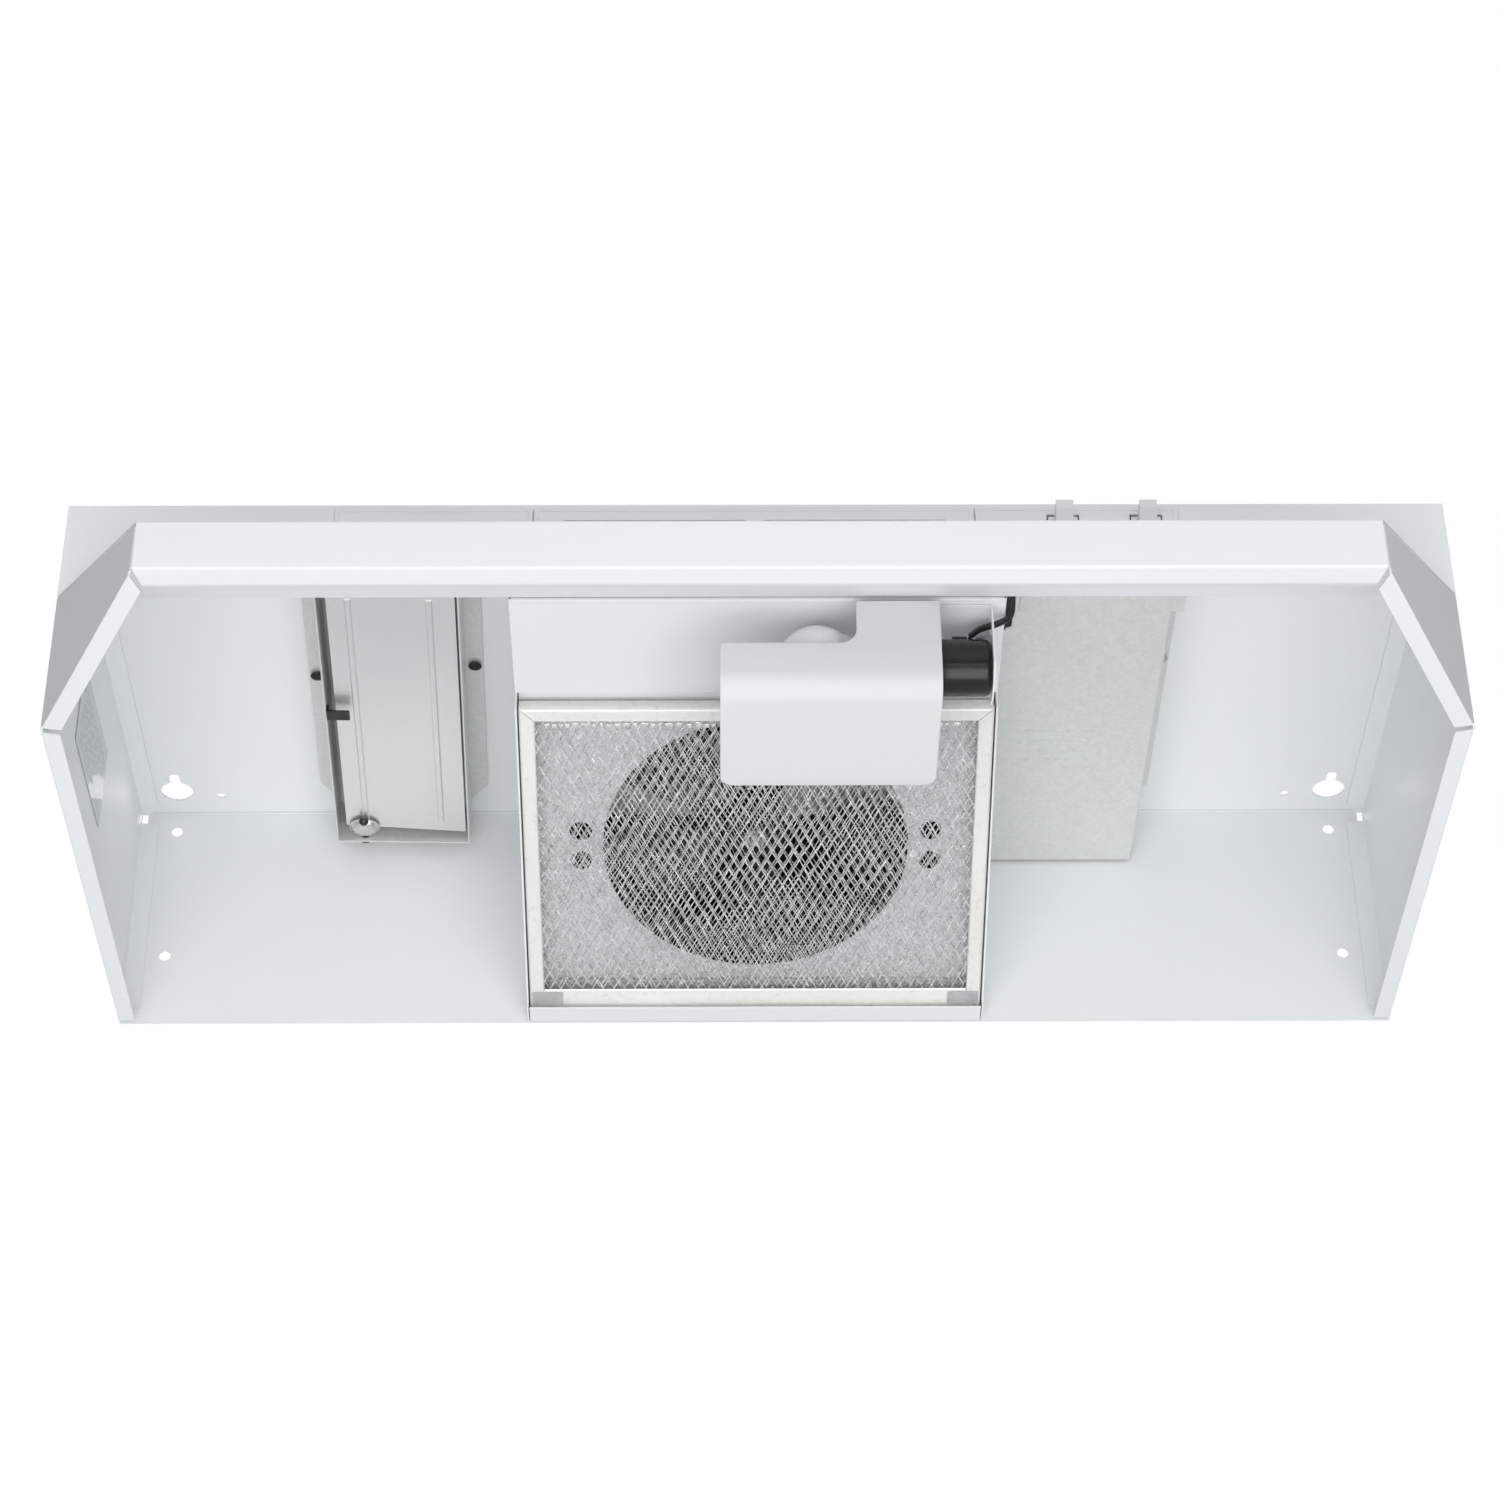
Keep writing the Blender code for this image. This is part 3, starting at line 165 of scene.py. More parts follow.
def make_world():
    """White backdrop for the camera; softer light with dim sides for everything else."""
    world = bpy.data.worlds.new("studio")
    bpy.context.scene.world = world
    world.use_nodes = True
    nodes, links = world.node_tree.nodes, world.node_tree.links
    nodes.clear()
    output = nodes.new("ShaderNodeOutputWorld")
    place = nodes.new("ShaderNodeTexCoord")
    split = nodes.new("ShaderNodeSeparateXYZ")
    links.new(place.outputs["Generated"], split.inputs[0])
    side = nodes.new("ShaderNodeMath")
    side.operation = "ABSOLUTE"
    links.new(split.outputs["X"], side.inputs[0])
    fade = nodes.new("ShaderNodeMapRange")
    fade.interpolation_type = "SMOOTHSTEP"
    fade.inputs["From Min"].default_value, fade.inputs["From Max"].default_value = WORLD_FADE
    fade.inputs["To Min"].default_value = WORLD_FRONT
    fade.inputs["To Max"].default_value = WORLD_SIDE
    links.new(side.outputs[0], fade.inputs["Value"])
    soft = nodes.new("ShaderNodeBackground")
    soft.inputs["Color"].default_value = (0.95, 0.975, 1, 1)
    links.new(fade.outputs[0], soft.inputs["Strength"])
    white = nodes.new("ShaderNodeBackground")
    white.inputs["Color"].default_value = (1, 1, 1, 1)
    path = nodes.new("ShaderNodeLightPath")
    mix = nodes.new("ShaderNodeMixShader")
    links.new(path.outputs["Is Camera Ray"], mix.inputs[0])
    links.new(soft.outputs[0], mix.inputs[1])
    links.new(white.outputs[0], mix.inputs[2])
    links.new(mix.outputs[0], output.inputs["Surface"])


def make_studio():
    scene = bpy.context.scene
    scene.view_settings.view_transform = "Standard"
    scene.view_settings.look = "None"
    make_world()
    add_light("key", (0.15, -2.4, -0.55), (0, 0, -0.08), (2.2, 1.2), 12, (1, 0.985, 0.96))
    add_light("under", (0, -1.05, -1.72), (0, 0.05, -0.08), (2.6, 1.4), 25, (1, 0.997, 0.99))
    add_light("back", (0.6, 1.8, 1.3), (0, 0, -0.05), (1.5, 1.5), 18)
    bm = bmesh.new()
    bmesh.ops.create_grid(bm, x_segments=8, y_segments=8, size=FLOOR_HALF)
    mesh = bpy.data.meshes.new("floor")
    bm.to_mesh(mesh)
    bm.free()
    floor = bpy.data.objects.new("floor", mesh)
    floor.location.z = FLOOR_Z
    look = Look("floor_pale", 0.8)
    look.colour(look.noise(1.5, 3), ((0.80, 0.81, 0.82), (0.85, 0.855, 0.86)))
    mesh.materials.append(look.material)
    scene.collection.objects.link(floor)


# ---------------------------------------------------------------- materials


class Look:
    """A Principled material whose layers are procedural patterns in object space."""

    def __init__(self, name, roughness, metallic=0.0, **sockets):
        self.material = bpy.data.materials.new(name)
        self.material.use_nodes = True
        self.nodes = self.material.node_tree.nodes
        self.links = self.material.node_tree.links
        self.shader = self.nodes["Principled BSDF"]
        self.shader.inputs["Roughness"].default_value = roughness
        self.shader.inputs["Metallic"].default_value = metallic
        for label, value in sockets.items():
            self.shader.inputs[label.replace("_", " ")].default_value = value
        self.place = self.nodes.new("ShaderNodeTexCoord").outputs["Object"]
        self.last_bump = None

    def add(self, kind, settings=None, **inputs):
        """New node; inputs are values or links, by name (From_Min) or by number (_0)."""
        made = self.nodes.new(kind)
        for key, value in (settings or {}).items():
            setattr(made, key, value)
        for key, value in inputs.items():
            socket = made.inputs[int(key[1:]) if key[1:].isdigit() else key.replace("_", " ")]
            if isinstance(value, bpy.types.NodeSocket):
                self.links.new(value, socket)
            else:
                socket.default_value = value
        return made

    def stretched(self, scale):
        return self.add("ShaderNodeMapping", Vector=self.place, Scale=scale).outputs[0]

    def noise(self, scale, detail, stretch=None):
        place = self.stretched(stretch) if stretch else self.place
        made = self.add("ShaderNodeTexNoise", Vector=place, Scale=scale, Detail=detail)
        return made.outputs["Fac"]

    def cells(self, scale):
        return self.add("ShaderNodeTexVoronoi", Vector=self.place, Scale=scale).outputs["Color"]

    def bands(self, scale, axis):
        settings = {"wave_type": "BANDS", "bands_direction": axis}
        made = self.add("ShaderNodeTexWave", settings, Vector=self.place, Scale=scale)
        return made.outputs["Fac"]

    def math(self, operation, first, second=0.0):
        return self.add("ShaderNodeMath", {"operation": operation}, _0=first, _1=second).outputs[0]

    def remap(self, value, low, high, start=0.25, end=0.75):
        return self.add(
            "ShaderNodeMapRange", Value=value, From_Min=start, From_Max=end, To_Min=low, To_Max=high
        ).outputs[0]

    def along_normal(self):
        """Height along the fan's axis, square to the filter."""
        settings = {"operation": "DOT_PRODUCT"}
        made = self.add("ShaderNodeVectorMath", settings, _0=self.place, _1=tuple(SLOPE_NORMAL))
        return made.outputs["Value"]

    def mix(self, share, first, second):
        made = self.add("ShaderNodeMix", {"data_type": "RGBA"}, _0=share)
        for socket, value in ((made.inputs[6], first), (made.inputs[7], second)):
            if isinstance(value, bpy.types.NodeSocket):
                self.links.new(value, socket)
            else:
                socket.default_value = (*value, 1)
        return made.outputs[2]

    def colour(self, share, ends, start=0.3, end=0.7):
        """Blend two colours by a pattern and use them; gives the colour back for more layers."""
        return self.use_colour(self.mix(self.remap(share, 0, 1, start, end), *ends))

    def use_colour(self, socket):
        self.links.new(socket, self.shader.inputs["Base Color"])
        return socket

    def roughness(self, share, low, high):
        self.links.new(self.remap(share, low, high), self.shader.inputs["Roughness"])

    def bump(self, height, distance, strength=1.0):
        made = self.add("ShaderNodeBump", Height=height, Distance=distance, Strength=strength)
        if self.last_bump:
            self.links.new(self.last_bump, made.inputs["Normal"])
        self.last_bump = made.outputs[0]
        self.links.new(self.last_bump, self.shader.inputs["Normal"])


WHITE_ENDS = ((0.825, 0.842, 0.848), (0.845, 0.86, 0.865))

# Fan chamber: rear edge of the flat floor, height of the orifice plate over the filter's pivot,
# and how far inside each sheet's face the painted shade of the dark chamber starts
FLOOR_REAR_T = 8.56
PLATE_RISE = 0.5 * INCH
CHAMBER_SHADE_SKIN = 0.5 * MM


def enamel_layers(look):
    """Baked enamel: a slow tone drift, fine orange peel and a gloss that varies a little."""
    tone = look.colour(look.noise(3, 1), WHITE_ENDS)
    look.roughness(look.noise(12, 2), 0.4, 0.47)
    look.bump(look.noise(900, 2), 0.00003, 0.2)
    return tone


def enamel():
    look = Look("enamel", 0.3)
    enamel_layers(look)
    return look.material


def enamel_with_chamber_shade():
    """Enamel outside; near black painted shade where the sheet faces the fan chamber, which little
    light reaches.
    """
    look = Look("enamel_and_painted_chamber_shade", 0.3)
    tone = enamel_layers(look)
    skin = CHAMBER_SHADE_SKIN
    x, y, z = look.add("ShaderNodeSeparateXYZ", Vector=look.place).outputs
    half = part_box("fan_housing")[1].x - skin
    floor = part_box("socket_bracket")[1].z + 0.4 * MM + skin
    wide = look.math("LESS_THAN", look.math("ABSOLUTE", x), half)
    below = look.math("LESS_THAN", z, CAD_HIGH.z - skin)
    rear = look.math("LESS_THAN", y, WALL_Y - skin)
    front = look.math("GREATER_THAN", y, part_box("switch_plate")[1].y + skin)
    over_floor = look.math("LESS_THAN", y, hood(0, FLOOR_REAR_T, 0).y)
    above_floor = look.math("MULTIPLY", look.math("GREATER_THAN", z, floor), over_floor)
    plate = SLOPE_NORMAL.dot(SLOPE_ORIGIN) + PLATE_RISE + skin
    above_plate = look.math("GREATER_THAN", look.along_normal(), plate)
    inside = look.math("MAXIMUM", above_floor, above_plate)
    for test in (wide, below, rear, front):
        inside = look.math("MULTIPLY", inside, test)
    # painted shade: near black colour on every face inside the fan chamber, standing in for the
    # dark there
    painted_shade = look.mix(look.noise(200, 3), (0.018, 0.019, 0.02), (0.035, 0.036, 0.037))
    look.use_colour(look.mix(inside, tone, painted_shade))
    return look.material


def galvanised():
    """Zinc spangle: flat crystals that differ a little in tone and gloss, over fine mottling."""
    look = Look("galvanised", 0.42, 0.35)
    spangle = look.add("ShaderNodeRGBToBW", Color=look.cells(420)).outputs[0]
    crystals = look.mix(spangle, (0.68, 0.70, 0.685), (0.77, 0.79, 0.77))
    mottle = look.remap(look.noise(900, 4), 0, 0.4)
    look.use_colour(look.mix(mottle, crystals, (0.62, 0.64, 0.625)))
    look.roughness(look.noise(400, 3), 0.36, 0.5)
    look.bump(look.noise(700, 3), 0.00005, 0.35)
    return look.material


def bright_aluminium():
    """Mill finish sheet with long rolling lines and a few cloudy scuffs."""
    look = Look("bright_aluminium", 0.34, 0.8)
    lines = look.noise(60, 3, (22, 0.5, 22))
    tone = look.mix(look.remap(lines, 0, 1), (0.815, 0.81, 0.80), (0.835, 0.83, 0.822))
    look.use_colour(look.mix(look.remap(look.noise(9, 2), 0, 0.5), tone, (0.85, 0.84, 0.835)))
    look.roughness(look.noise(30, 4, (3, 0.6, 3)), 0.3, 0.4)
    look.bump(lines, 0.000015, 0.15)
    return look.material


def filter_aluminium():
    """Roll formed channel: warm satin aluminium with drawing lines both ways and small scuffs."""
    look = Look("filter_aluminium", 0.38, 0.3)
    tone = look.mix(look.remap(look.noise(16, 4), 0, 1), (0.87, 0.855, 0.82), (0.93, 0.92, 0.89))
    scuff = look.remap(look.noise(240, 5), 0, 0.4, 0.55, 0.78)
    look.use_colour(look.mix(scuff, tone, (0.55, 0.53, 0.50)))
    look.roughness(look.noise(120, 4), 0.3, 0.46)
    look.bump(look.noise(90, 3, (6, 0.8, 1)), 0.00005, 0.4)
    return look.material


def foil():
    """Expanded foil: strands that catch the light differently from one to the next, partly through
    their real tilt and partly through painted glints in the colour.
    """
    look = Look("foil", 0.3, 0.7)
    # painted glints: a fine speckle from grey to white in the strands' colour
    look.colour(look.noise(850, 2), ((0.72, 0.72, 0.715), (1.0, 1.0, 0.995)), 0.4, 0.6)
    look.roughness(look.noise(700, 2), 0.2, 0.4)
    look.bump(look.noise(1500, 2), 0.0001, 0.6)
    return look.material


def steel():
    look = Look("steel", 0.35, 0.9)
    look.colour(look.noise(180, 4), ((0.42, 0.42, 0.425), (0.6, 0.6, 0.6)))
    look.roughness(look.noise(300, 3), 0.25, 0.5)
    look.bump(look.noise(900, 2), 0.00004, 0.4)
    return look.material


LAMINATION = 0.7 * MM


def laminated_steel():
    """Stack of thin stampings, edge on."""
    look = Look("laminated_steel", 0.45, 0.85)
    sheets = look.math("SINE", look.math("MULTIPLY", look.along_normal(), math.tau / LAMINATION))
    look.colour(look.noise(220, 4), ((0.30, 0.30, 0.31), (0.46, 0.46, 0.47)))
    look.roughness(look.noise(300, 3), 0.35, 0.6)
    look.bump(sheets, 0.0001, 0.7)
    return look.material


def copper_winding():
    """Enamelled wire wound across the slope."""
    look = Look("copper_winding", 0.3, 0.8, Coat_Weight=0.6, Coat_Roughness=0.15)
    look.colour(look.noise(260, 3), ((0.42, 0.15, 0.06), (0.66, 0.28, 0.13)))
    look.roughness(look.noise(500, 2), 0.22, 0.4)
    look.bump(look.bands(640, "X"), 0.0003, 0.8)
    return look.material


def sintered_bronze():
    look = Look("sintered_bronze", 0.4, 0.9)
    look.colour(look.noise(900, 4), ((0.34, 0.23, 0.10), (0.56, 0.40, 0.20)))
    look.roughness(look.noise(700, 3), 0.3, 0.55)
    look.bump(look.noise(1600, 3), 0.00008, 0.6)
    return look.material


def nickel():
    look = Look("nickel", 0.25, 0.95)
    look.colour(look.noise(150, 4), ((0.62, 0.60, 0.56), (0.78, 0.77, 0.74)))
    look.roughness(look.noise(400, 3), 0.16, 0.34)
    look.bump(look.noise(800, 2), 0.00003, 0.4)
    return look.material


def black_plastic():
    """Glossy phenolic moulding with faint flow lines."""
    look = Look("black_plastic", 0.24)
    look.colour(look.noise(90, 3), ((0.004, 0.004, 0.004), (0.009, 0.009, 0.009)))
    look.roughness(look.noise(160, 4), 0.18, 0.3)
    look.bump(look.noise(350, 3), 0.00003, 0.3)
    return look.material


def black_steel():
    look = Look("black_steel", 0.38, 0.6)
    look.colour(look.noise(500, 4), ((0.012, 0.012, 0.012), (0.04, 0.04, 0.042)))
    look.roughness(look.noise(600, 3), 0.28, 0.5)
    look.bump(look.noise(1200, 2), 0.00005, 0.5)
    return look.material


def white_plastic():
    """Moulded plastic with a fine spark eroded grain."""
    look = Look("white_plastic", 0.38)
    look.colour(look.noise(14, 3), ((0.80, 0.81, 0.81), (0.845, 0.85, 0.85)))
    look.roughness(look.noise(90, 3), 0.32, 0.46)
    look.bump(look.noise(1500, 3), 0.00005, 0.5)
    return look.material


def frosted_plastic():
    """Milky moulded lens: light spreads a little under its surface."""
    look = Look("frosted_plastic", 0.5, Subsurface_Weight=0.3, Subsurface_Scale=0.004)
    look.shader.inputs["Subsurface Radius"].default_value = (1, 1, 1)
    look.colour(look.noise(5, 1), ((0.755, 0.765, 0.766), (0.775, 0.785, 0.786)))
    look.roughness(look.noise(60, 3), 0.62, 0.72)
    look.bump(look.noise(1200, 2), 0.00003, 0.2)
    return look.material


def clip_plastic():
    """Thin clear grey clip."""
    look = Look("clip_plastic", 0.2, 0.0, Alpha=0.55, Coat_Weight=0.4)
    look.colour(look.noise(140, 3), ((0.50, 0.52, 0.52), (0.62, 0.64, 0.64)))
    look.roughness(look.noise(200, 3), 0.14, 0.3)
    look.bump(look.noise(500, 3), 0.00004, 0.4)
    return look.material


def soft_glass():
    """Inside frosted bulb."""
    look = Look("soft_glass", 0.12, Subsurface_Weight=0.3, Subsurface_Scale=0.003, Coat_Weight=0.8)
    look.shader.inputs["Subsurface Radius"].default_value = (1, 1, 1)
    look.colour(look.noise(40, 2), ((0.84, 0.85, 0.85), (0.9, 0.905, 0.9)))
    look.roughness(look.noise(60, 2), 0.08, 0.18)
    look.bump(look.noise(80, 2), 0.00003, 0.2)
    return look.material


def rubber():
    look = Look("rubber", 0.7)
    look.colour(look.noise(300, 4), ((0.012, 0.012, 0.012), (0.03, 0.03, 0.03)))
    look.roughness(look.noise(400, 3), 0.6, 0.82)
    look.bump(look.noise(1200, 3), 0.00008, 0.6)
    return look.material


def insulation():
    look = Look("insulation", 0.35, 0.0, Coat_Weight=0.2)
    look.colour(look.noise(120, 3), ((0.006, 0.006, 0.006), (0.02, 0.02, 0.02)))
    look.roughness(look.noise(300, 3), 0.26, 0.46)
    look.bump(look.noise(900, 2), 0.00005, 0.4)
    return look.material


def printed_label():
    """Grey blue sticker: a ruled block and rows of plain broken bars, with no letters."""
    look = Look("printed_label", 0.45, Coat_Weight=0.2)
    low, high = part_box("wiring_label")
    _, y, z = look.add("ShaderNodeSeparateXYZ", Vector=look.place).outputs
    across = look.remap(y, 0, 1, low.y, high.y)
    down = look.remap(z, 0, 1, low.z, high.z)
    flat = look.add("ShaderNodeCombineXYZ", X=across, Y=down).outputs[0]
    settings = {"offset": 0.37, "offset_frequency": 2, "squash": 0.6, "squash_frequency": 3}
    bars = look.add(
        "ShaderNodeTexBrick", settings, Vector=flat, Scale=1.0, Mortar_Size=0.016,
        Brick_Width=0.14, Row_Height=0.055, Mortar_Smooth=0.1,
    ).outputs["Fac"]
    inset = look.math(
        "MULTIPLY", look.math("GREATER_THAN", across, 0.06), look.math("LESS_THAN", across, 0.94)
    )
    inset = look.math("MULTIPLY", inset, look.math("GREATER_THAN", down, 0.08))
    inset = look.math("MULTIPLY", inset, look.math("LESS_THAN", down, 0.86))
    ink = look.math("MULTIPLY", look.math("SUBTRACT", 1.0, bars), inset)
    paper = look.mix(look.noise(60, 3), (0.60, 0.63, 0.65), (0.68, 0.71, 0.725))
    faded = look.math("MULTIPLY", ink, look.remap(look.noise(500, 3), 0.35, 0.8))
    look.use_colour(look.mix(faded, paper, (0.27, 0.30, 0.32)))
    look.roughness(look.noise(200, 3), 0.36, 0.52)
    look.bump(look.noise(900, 3), 0.00003, 0.4)
    return look.material


# ---------------------------------------------------------------- mesh tools


def piece(name, bm, body, look, nodes=(), smooth=35.0):
    """Turn a bmesh in world space into a piece that rides on a body.

    Edges whose faces meet at more than smooth degrees stay sharp.
    """
    bmesh.ops.recalc_face_normals(bm, faces=bm.faces)
    mesh = bpy.data.meshes.new(name)
    bm.to_mesh(mesh)
    bm.free()
    mesh.materials.append(look)
    mesh.shade_smooth()
    mesh.set_sharp_from_angle(angle=math.radians(smooth))
    made = bpy.data.objects.new(name, mesh)
    bpy.context.scene.collection.objects.link(made)
    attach(made, body)
    if nodes:
        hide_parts(*nodes)
    return made


def fill(bm, rings):
    """Faces between equal rings of vertices, with a cap on the first and the last."""
    count = len(rings[0])
    for first, second in zip(rings, rings[1:]):
        for index in range(count):
            after = (index + 1) % count
            bm.faces.new((first[index], first[after], second[after], second[index]))
    bm.faces.new(rings[0])
    bm.faces.new(rings[-1])


def lathe(bm, profile, place, steps):
    """Turn (radius, along) points; place maps (across, up, along) to world space."""
    rings = []
    for radius, along in profile:
        count = steps if radius > 0 else 1
        turns = [math.tau * index / steps for index in range(count)]
        spots = [place(radius * math.cos(turn), radius * math.sin(turn), along) for turn in turns]
        rings.append([bm.verts.new(spot) for spot in spots])
    for first, second in zip(rings, rings[1:]):
        for index in range(steps):
            after = (index + 1) % steps
            corners = [first[index % len(first)], first[after % len(first)]]
            corners += [second[after % len(second)], second[index % len(second)]]
            bm.faces.new(list(dict.fromkeys(corners)))


def arc(radius, centre, start, end, steps):
    """Points of an arc from one angle to another, in degrees."""
    x, y = centre
    turns = [math.radians(start + (end - start) * index / steps) for index in range(steps + 1)]
    return [(x + radius * math.cos(turn), y + radius * math.sin(turn)) for turn in turns]


def rounded_box(bm, low, high, radius, place=Vector, segments=3):
    """Box with rounded edges, between two corners."""
    ends = (low, high)
    corners = [Vector([ends[(index >> axis) & 1][axis] for axis in range(3)]) for index in range(8)]
    verts = [bm.verts.new(corner) for corner in corners]
    quads = ((0, 1, 3, 2), (4, 6, 7, 5), (0, 4, 5, 1), (2, 3, 7, 6), (0, 2, 6, 4), (1, 5, 7, 3))
    faces = [bm.faces.new([verts[index] for index in quad]) for quad in quads]
    edges = list({edge for face in faces for edge in face.edges})
    made = bmesh.ops.bevel(
        bm, geom=edges, offset=radius, segments=segments, profile=0.5, affect="EDGES",
        clamp_overlap=True,
    )
    moved = {vert for face in made["faces"] for vert in face.verts}
    for vert in moved:
        vert.co = place(vert.co)


def dimple(bm, centre, across, up, radius, rise):
    """Round pressed mark with a raised ring, on a sheet."""
    out = across.cross(up)
    profile = [(0, -0.2 * rise), (radius * 0.45, 0), (radius * 0.75, rise), (radius, 0.0)]
    profile += [(radius, -rise), (0, -rise)]
    lathe(bm, profile, lambda a, b, c: centre + across * a + up * b + out * c, 20)


# ---------------------------------------------------------------- CAD nodes with softened edges


MERGE_GAP = 0.00001
FLAT_ANGLE = math.radians(0.4)
SHARP_ANGLE = math.radians(30)
SAME_BEND = 0.64  # cosine of the widest angle between faces that share their shading


def steady_normals(mesh):
    """Keep large faces evenly lit: narrow rounded edges are shaded like the faces beside them."""
    around = {}
    for face in mesh.polygons:
        for index in face.vertices:
            around.setdefault(index, []).append((face.normal.copy(), face.area))
    normals = []
    for face in mesh.polygons:
        for index in face.vertices:
            widest = max(area for _, area in around[index]) or 1
            total = Vector()
            for normal, area in around[index]:
                if normal.dot(face.normal) > SAME_BEND:
                    total += normal * (area / widest) ** 2
            normals.append(tuple(total.normalized() if total.length > 1e-9 else face.normal))
    mesh.normals_split_custom_set(normals)


def soften(node, look, width):
    """Copy of a CAD node with its sharp edges rounded by a small radius."""
    source = frame["nodes"][node]
    bm = bmesh.new()
    bm.from_mesh(source.data)
    for layer in list(bm.loops.layers.uv):
        bm.loops.layers.uv.remove(layer)
    bmesh.ops.remove_doubles(bm, verts=bm.verts, dist=MERGE_GAP)
    bmesh.ops.dissolve_limit(bm, angle_limit=FLAT_ANGLE, verts=bm.verts, edges=bm.edges)
    edges = [
        edge for edge in bm.edges
        if len(edge.link_faces) == 2 and edge.calc_face_angle() > SHARP_ANGLE
    ]
    if edges and width:
        bmesh.ops.bevel(
            bm, geom=edges, offset=width, segments=2, profile=0.5, affect="EDGES",
            clamp_overlap=True,
        )
    made = piece(f"{node}_finish", bm, source["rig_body"], look, (node,), 60 if width else 35)
    if width:
        steady_normals(made.data)


# ---------------------------------------------------------------- grease filter

# In plan the frame is longer than its slope by what its thickness adds, seen end on.
FRAME_LOW, FRAME_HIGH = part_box("filter_frame")
FRAME_END_ON = 3.4 * MM
FILTER_LENGTH = (FRAME_HIGH.y - FRAME_LOW.y) / SLOPE_NORMAL.z - FRAME_END_ON
FILTER_HALF = FRAME_HIGH.x
FILTER_THICK = 0.38 * INCH
FILTER_RIM = 0.35 * INCH
FILTER_REAR_RIM = 0.76 * INCH

FOIL_HALF_THICK = 0.07 * MM
FOIL_TILT = 0.9  # radians, either way
FOIL_JITTER = 0.15  # mm, either way
FOIL_LAYERS = (
    # level above the lower face, cell width and height, strand width, all in mm; turn in degrees
    (1.5, 6.3, 12.5, 0.6, 0.6),
    (3.0, 6.3, 12.5, 0.6, -1.8),
    (4.6, 6.4, 12.7, 0.65, 3.1),
    (6.4, 6.2, 12.3, 0.65, -4.2),
)


def foil_layer(index, look):
    """Expanded foil: rows of zigzag strands that meet at their corners."""
    level, cell, height, strand, turn = FOIL_LAYERS[index]
    source = random.Random(40 + index)
    low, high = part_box("filter_mesh")
    half = (high.x - low.x) / 2 - 1.5 * MM
    reach_s = FILTER_LENGTH / 2 - FILTER_RIM + 5 * MM
    across = Vector((math.cos(math.radians(turn)), math.sin(math.radians(turn))))
    along = Vector((-across.y, across.x))
    reach = math.hypot(half, reach_s)
    pitch = height * MM / 2
    step = cell * MM / 4
    bm = bmesh.new()

    def ribbon(run):
        rings = []
        for spot in run:
            tilt = source.uniform(-FOIL_TILT, FOIL_TILT)
            wide = strand * MM / 2 * source.uniform(0.85, 1.15)
            wave = 0.35 * math.sin(spot.x * 260) * math.cos(spot.y * 230)
            rise = (level + wave + source.uniform(-0.3, 0.3)) * MM
            ring = []
            for side, lift in ((-1, -1), (1, -1), (1, 1), (-1, 1)):
                edge = spot + across * side * wide * math.cos(tilt)
                n = rise + side * wide * math.sin(tilt) + lift * FOIL_HALF_THICK
                ring.append(bm.verts.new(on_slope(edge.x, FILTER_LENGTH / 2 + edge.y, n)))
            rings.append(ring)
        fill(bm, rings)

    rows = int(reach / pitch)
    columns = int(reach / step)
    for row in range(-rows, rows + 1):
        run = []
        for column in range(-columns, columns + 1):
            zigzag = (1, 0, -1, 0)[(column + 2 * row) % 4]
            jitter = source.uniform(-FOIL_JITTER, FOIL_JITTER) * MM
            spot = across * (column * step + jitter) + along * pitch * (row + zigzag / 2)
            if abs(spot.x) < half and abs(spot.y) < reach_s:
                run.append(spot)
                continue
            if len(run) > 1:
                ribbon(run)
            run = []
        if len(run) > 1:
            ribbon(run)
    return piece(f"foil_layer_{index + 1}", bm, "filter", look, smooth=60)


def filter_channel(look):
    """Roll formed channel: four mitred bars with rolled edges, the rear one wider."""
    bend = 1.4 * MM
    wall = 0.5 * MM
    thick = FILTER_THICK
    seam = 0.22 * MM
    half, length = FILTER_HALF + 0.9 * MM, FILTER_LENGTH

    def section(rim):
        outer = [(rim, 1.0 * MM), (rim - 0.4 * MM, 0.35 * MM), (rim - 1.1 * MM, 0.05 * MM)]
        outer += [(rim - 2.0 * MM, 0.3 * MM), (rim - 3.0 * MM, 0.12 * MM), (bend * 2.0, 0.12 * MM)]
        outer += arc(bend, (bend, bend), 270, 180, 4)
        outer += arc(bend, (bend, thick - bend), 180, 90, 4)
        inner = [(rim, thick), (rim, thick - wall)]
        inner += arc(bend - wall, (bend, thick - bend), 90, 180, 3)
        inner += arc(bend - wall, (bend, bend), 180, 270, 3)
        inner += [(bend * 2.0, wall + 0.12 * MM), (rim - 1.4 * MM, wall + 0.3 * MM)]
        inner += [(rim - 0.3 * MM, 1.3 * MM)]
        return outer + inner

    def bar(bm, rim, locate):
        rings = []
        for end in (-1, 1):
            rings.append([bm.verts.new(on_slope(*locate(d, end), n)) for d, n in section(rim)])
        fill(bm, rings)

    rear = FILTER_REAR_RIM / FILTER_RIM
    bm = bmesh.new()
    bar(bm, FILTER_REAR_RIM, lambda d, a: (a * (half - d / rear - seam), d))
    bar(bm, FILTER_RIM, lambda d, a: (a * (half - d - seam), length - d))
    for side in (-1, 1):
        bar(bm, FILTER_RIM, lambda d, a: (
            side * (half - d), length - d - seam if a > 0 else d * rear + seam
        ))
    piece("filter_channel", bm, "filter", look, ("filter_frame",), 40)


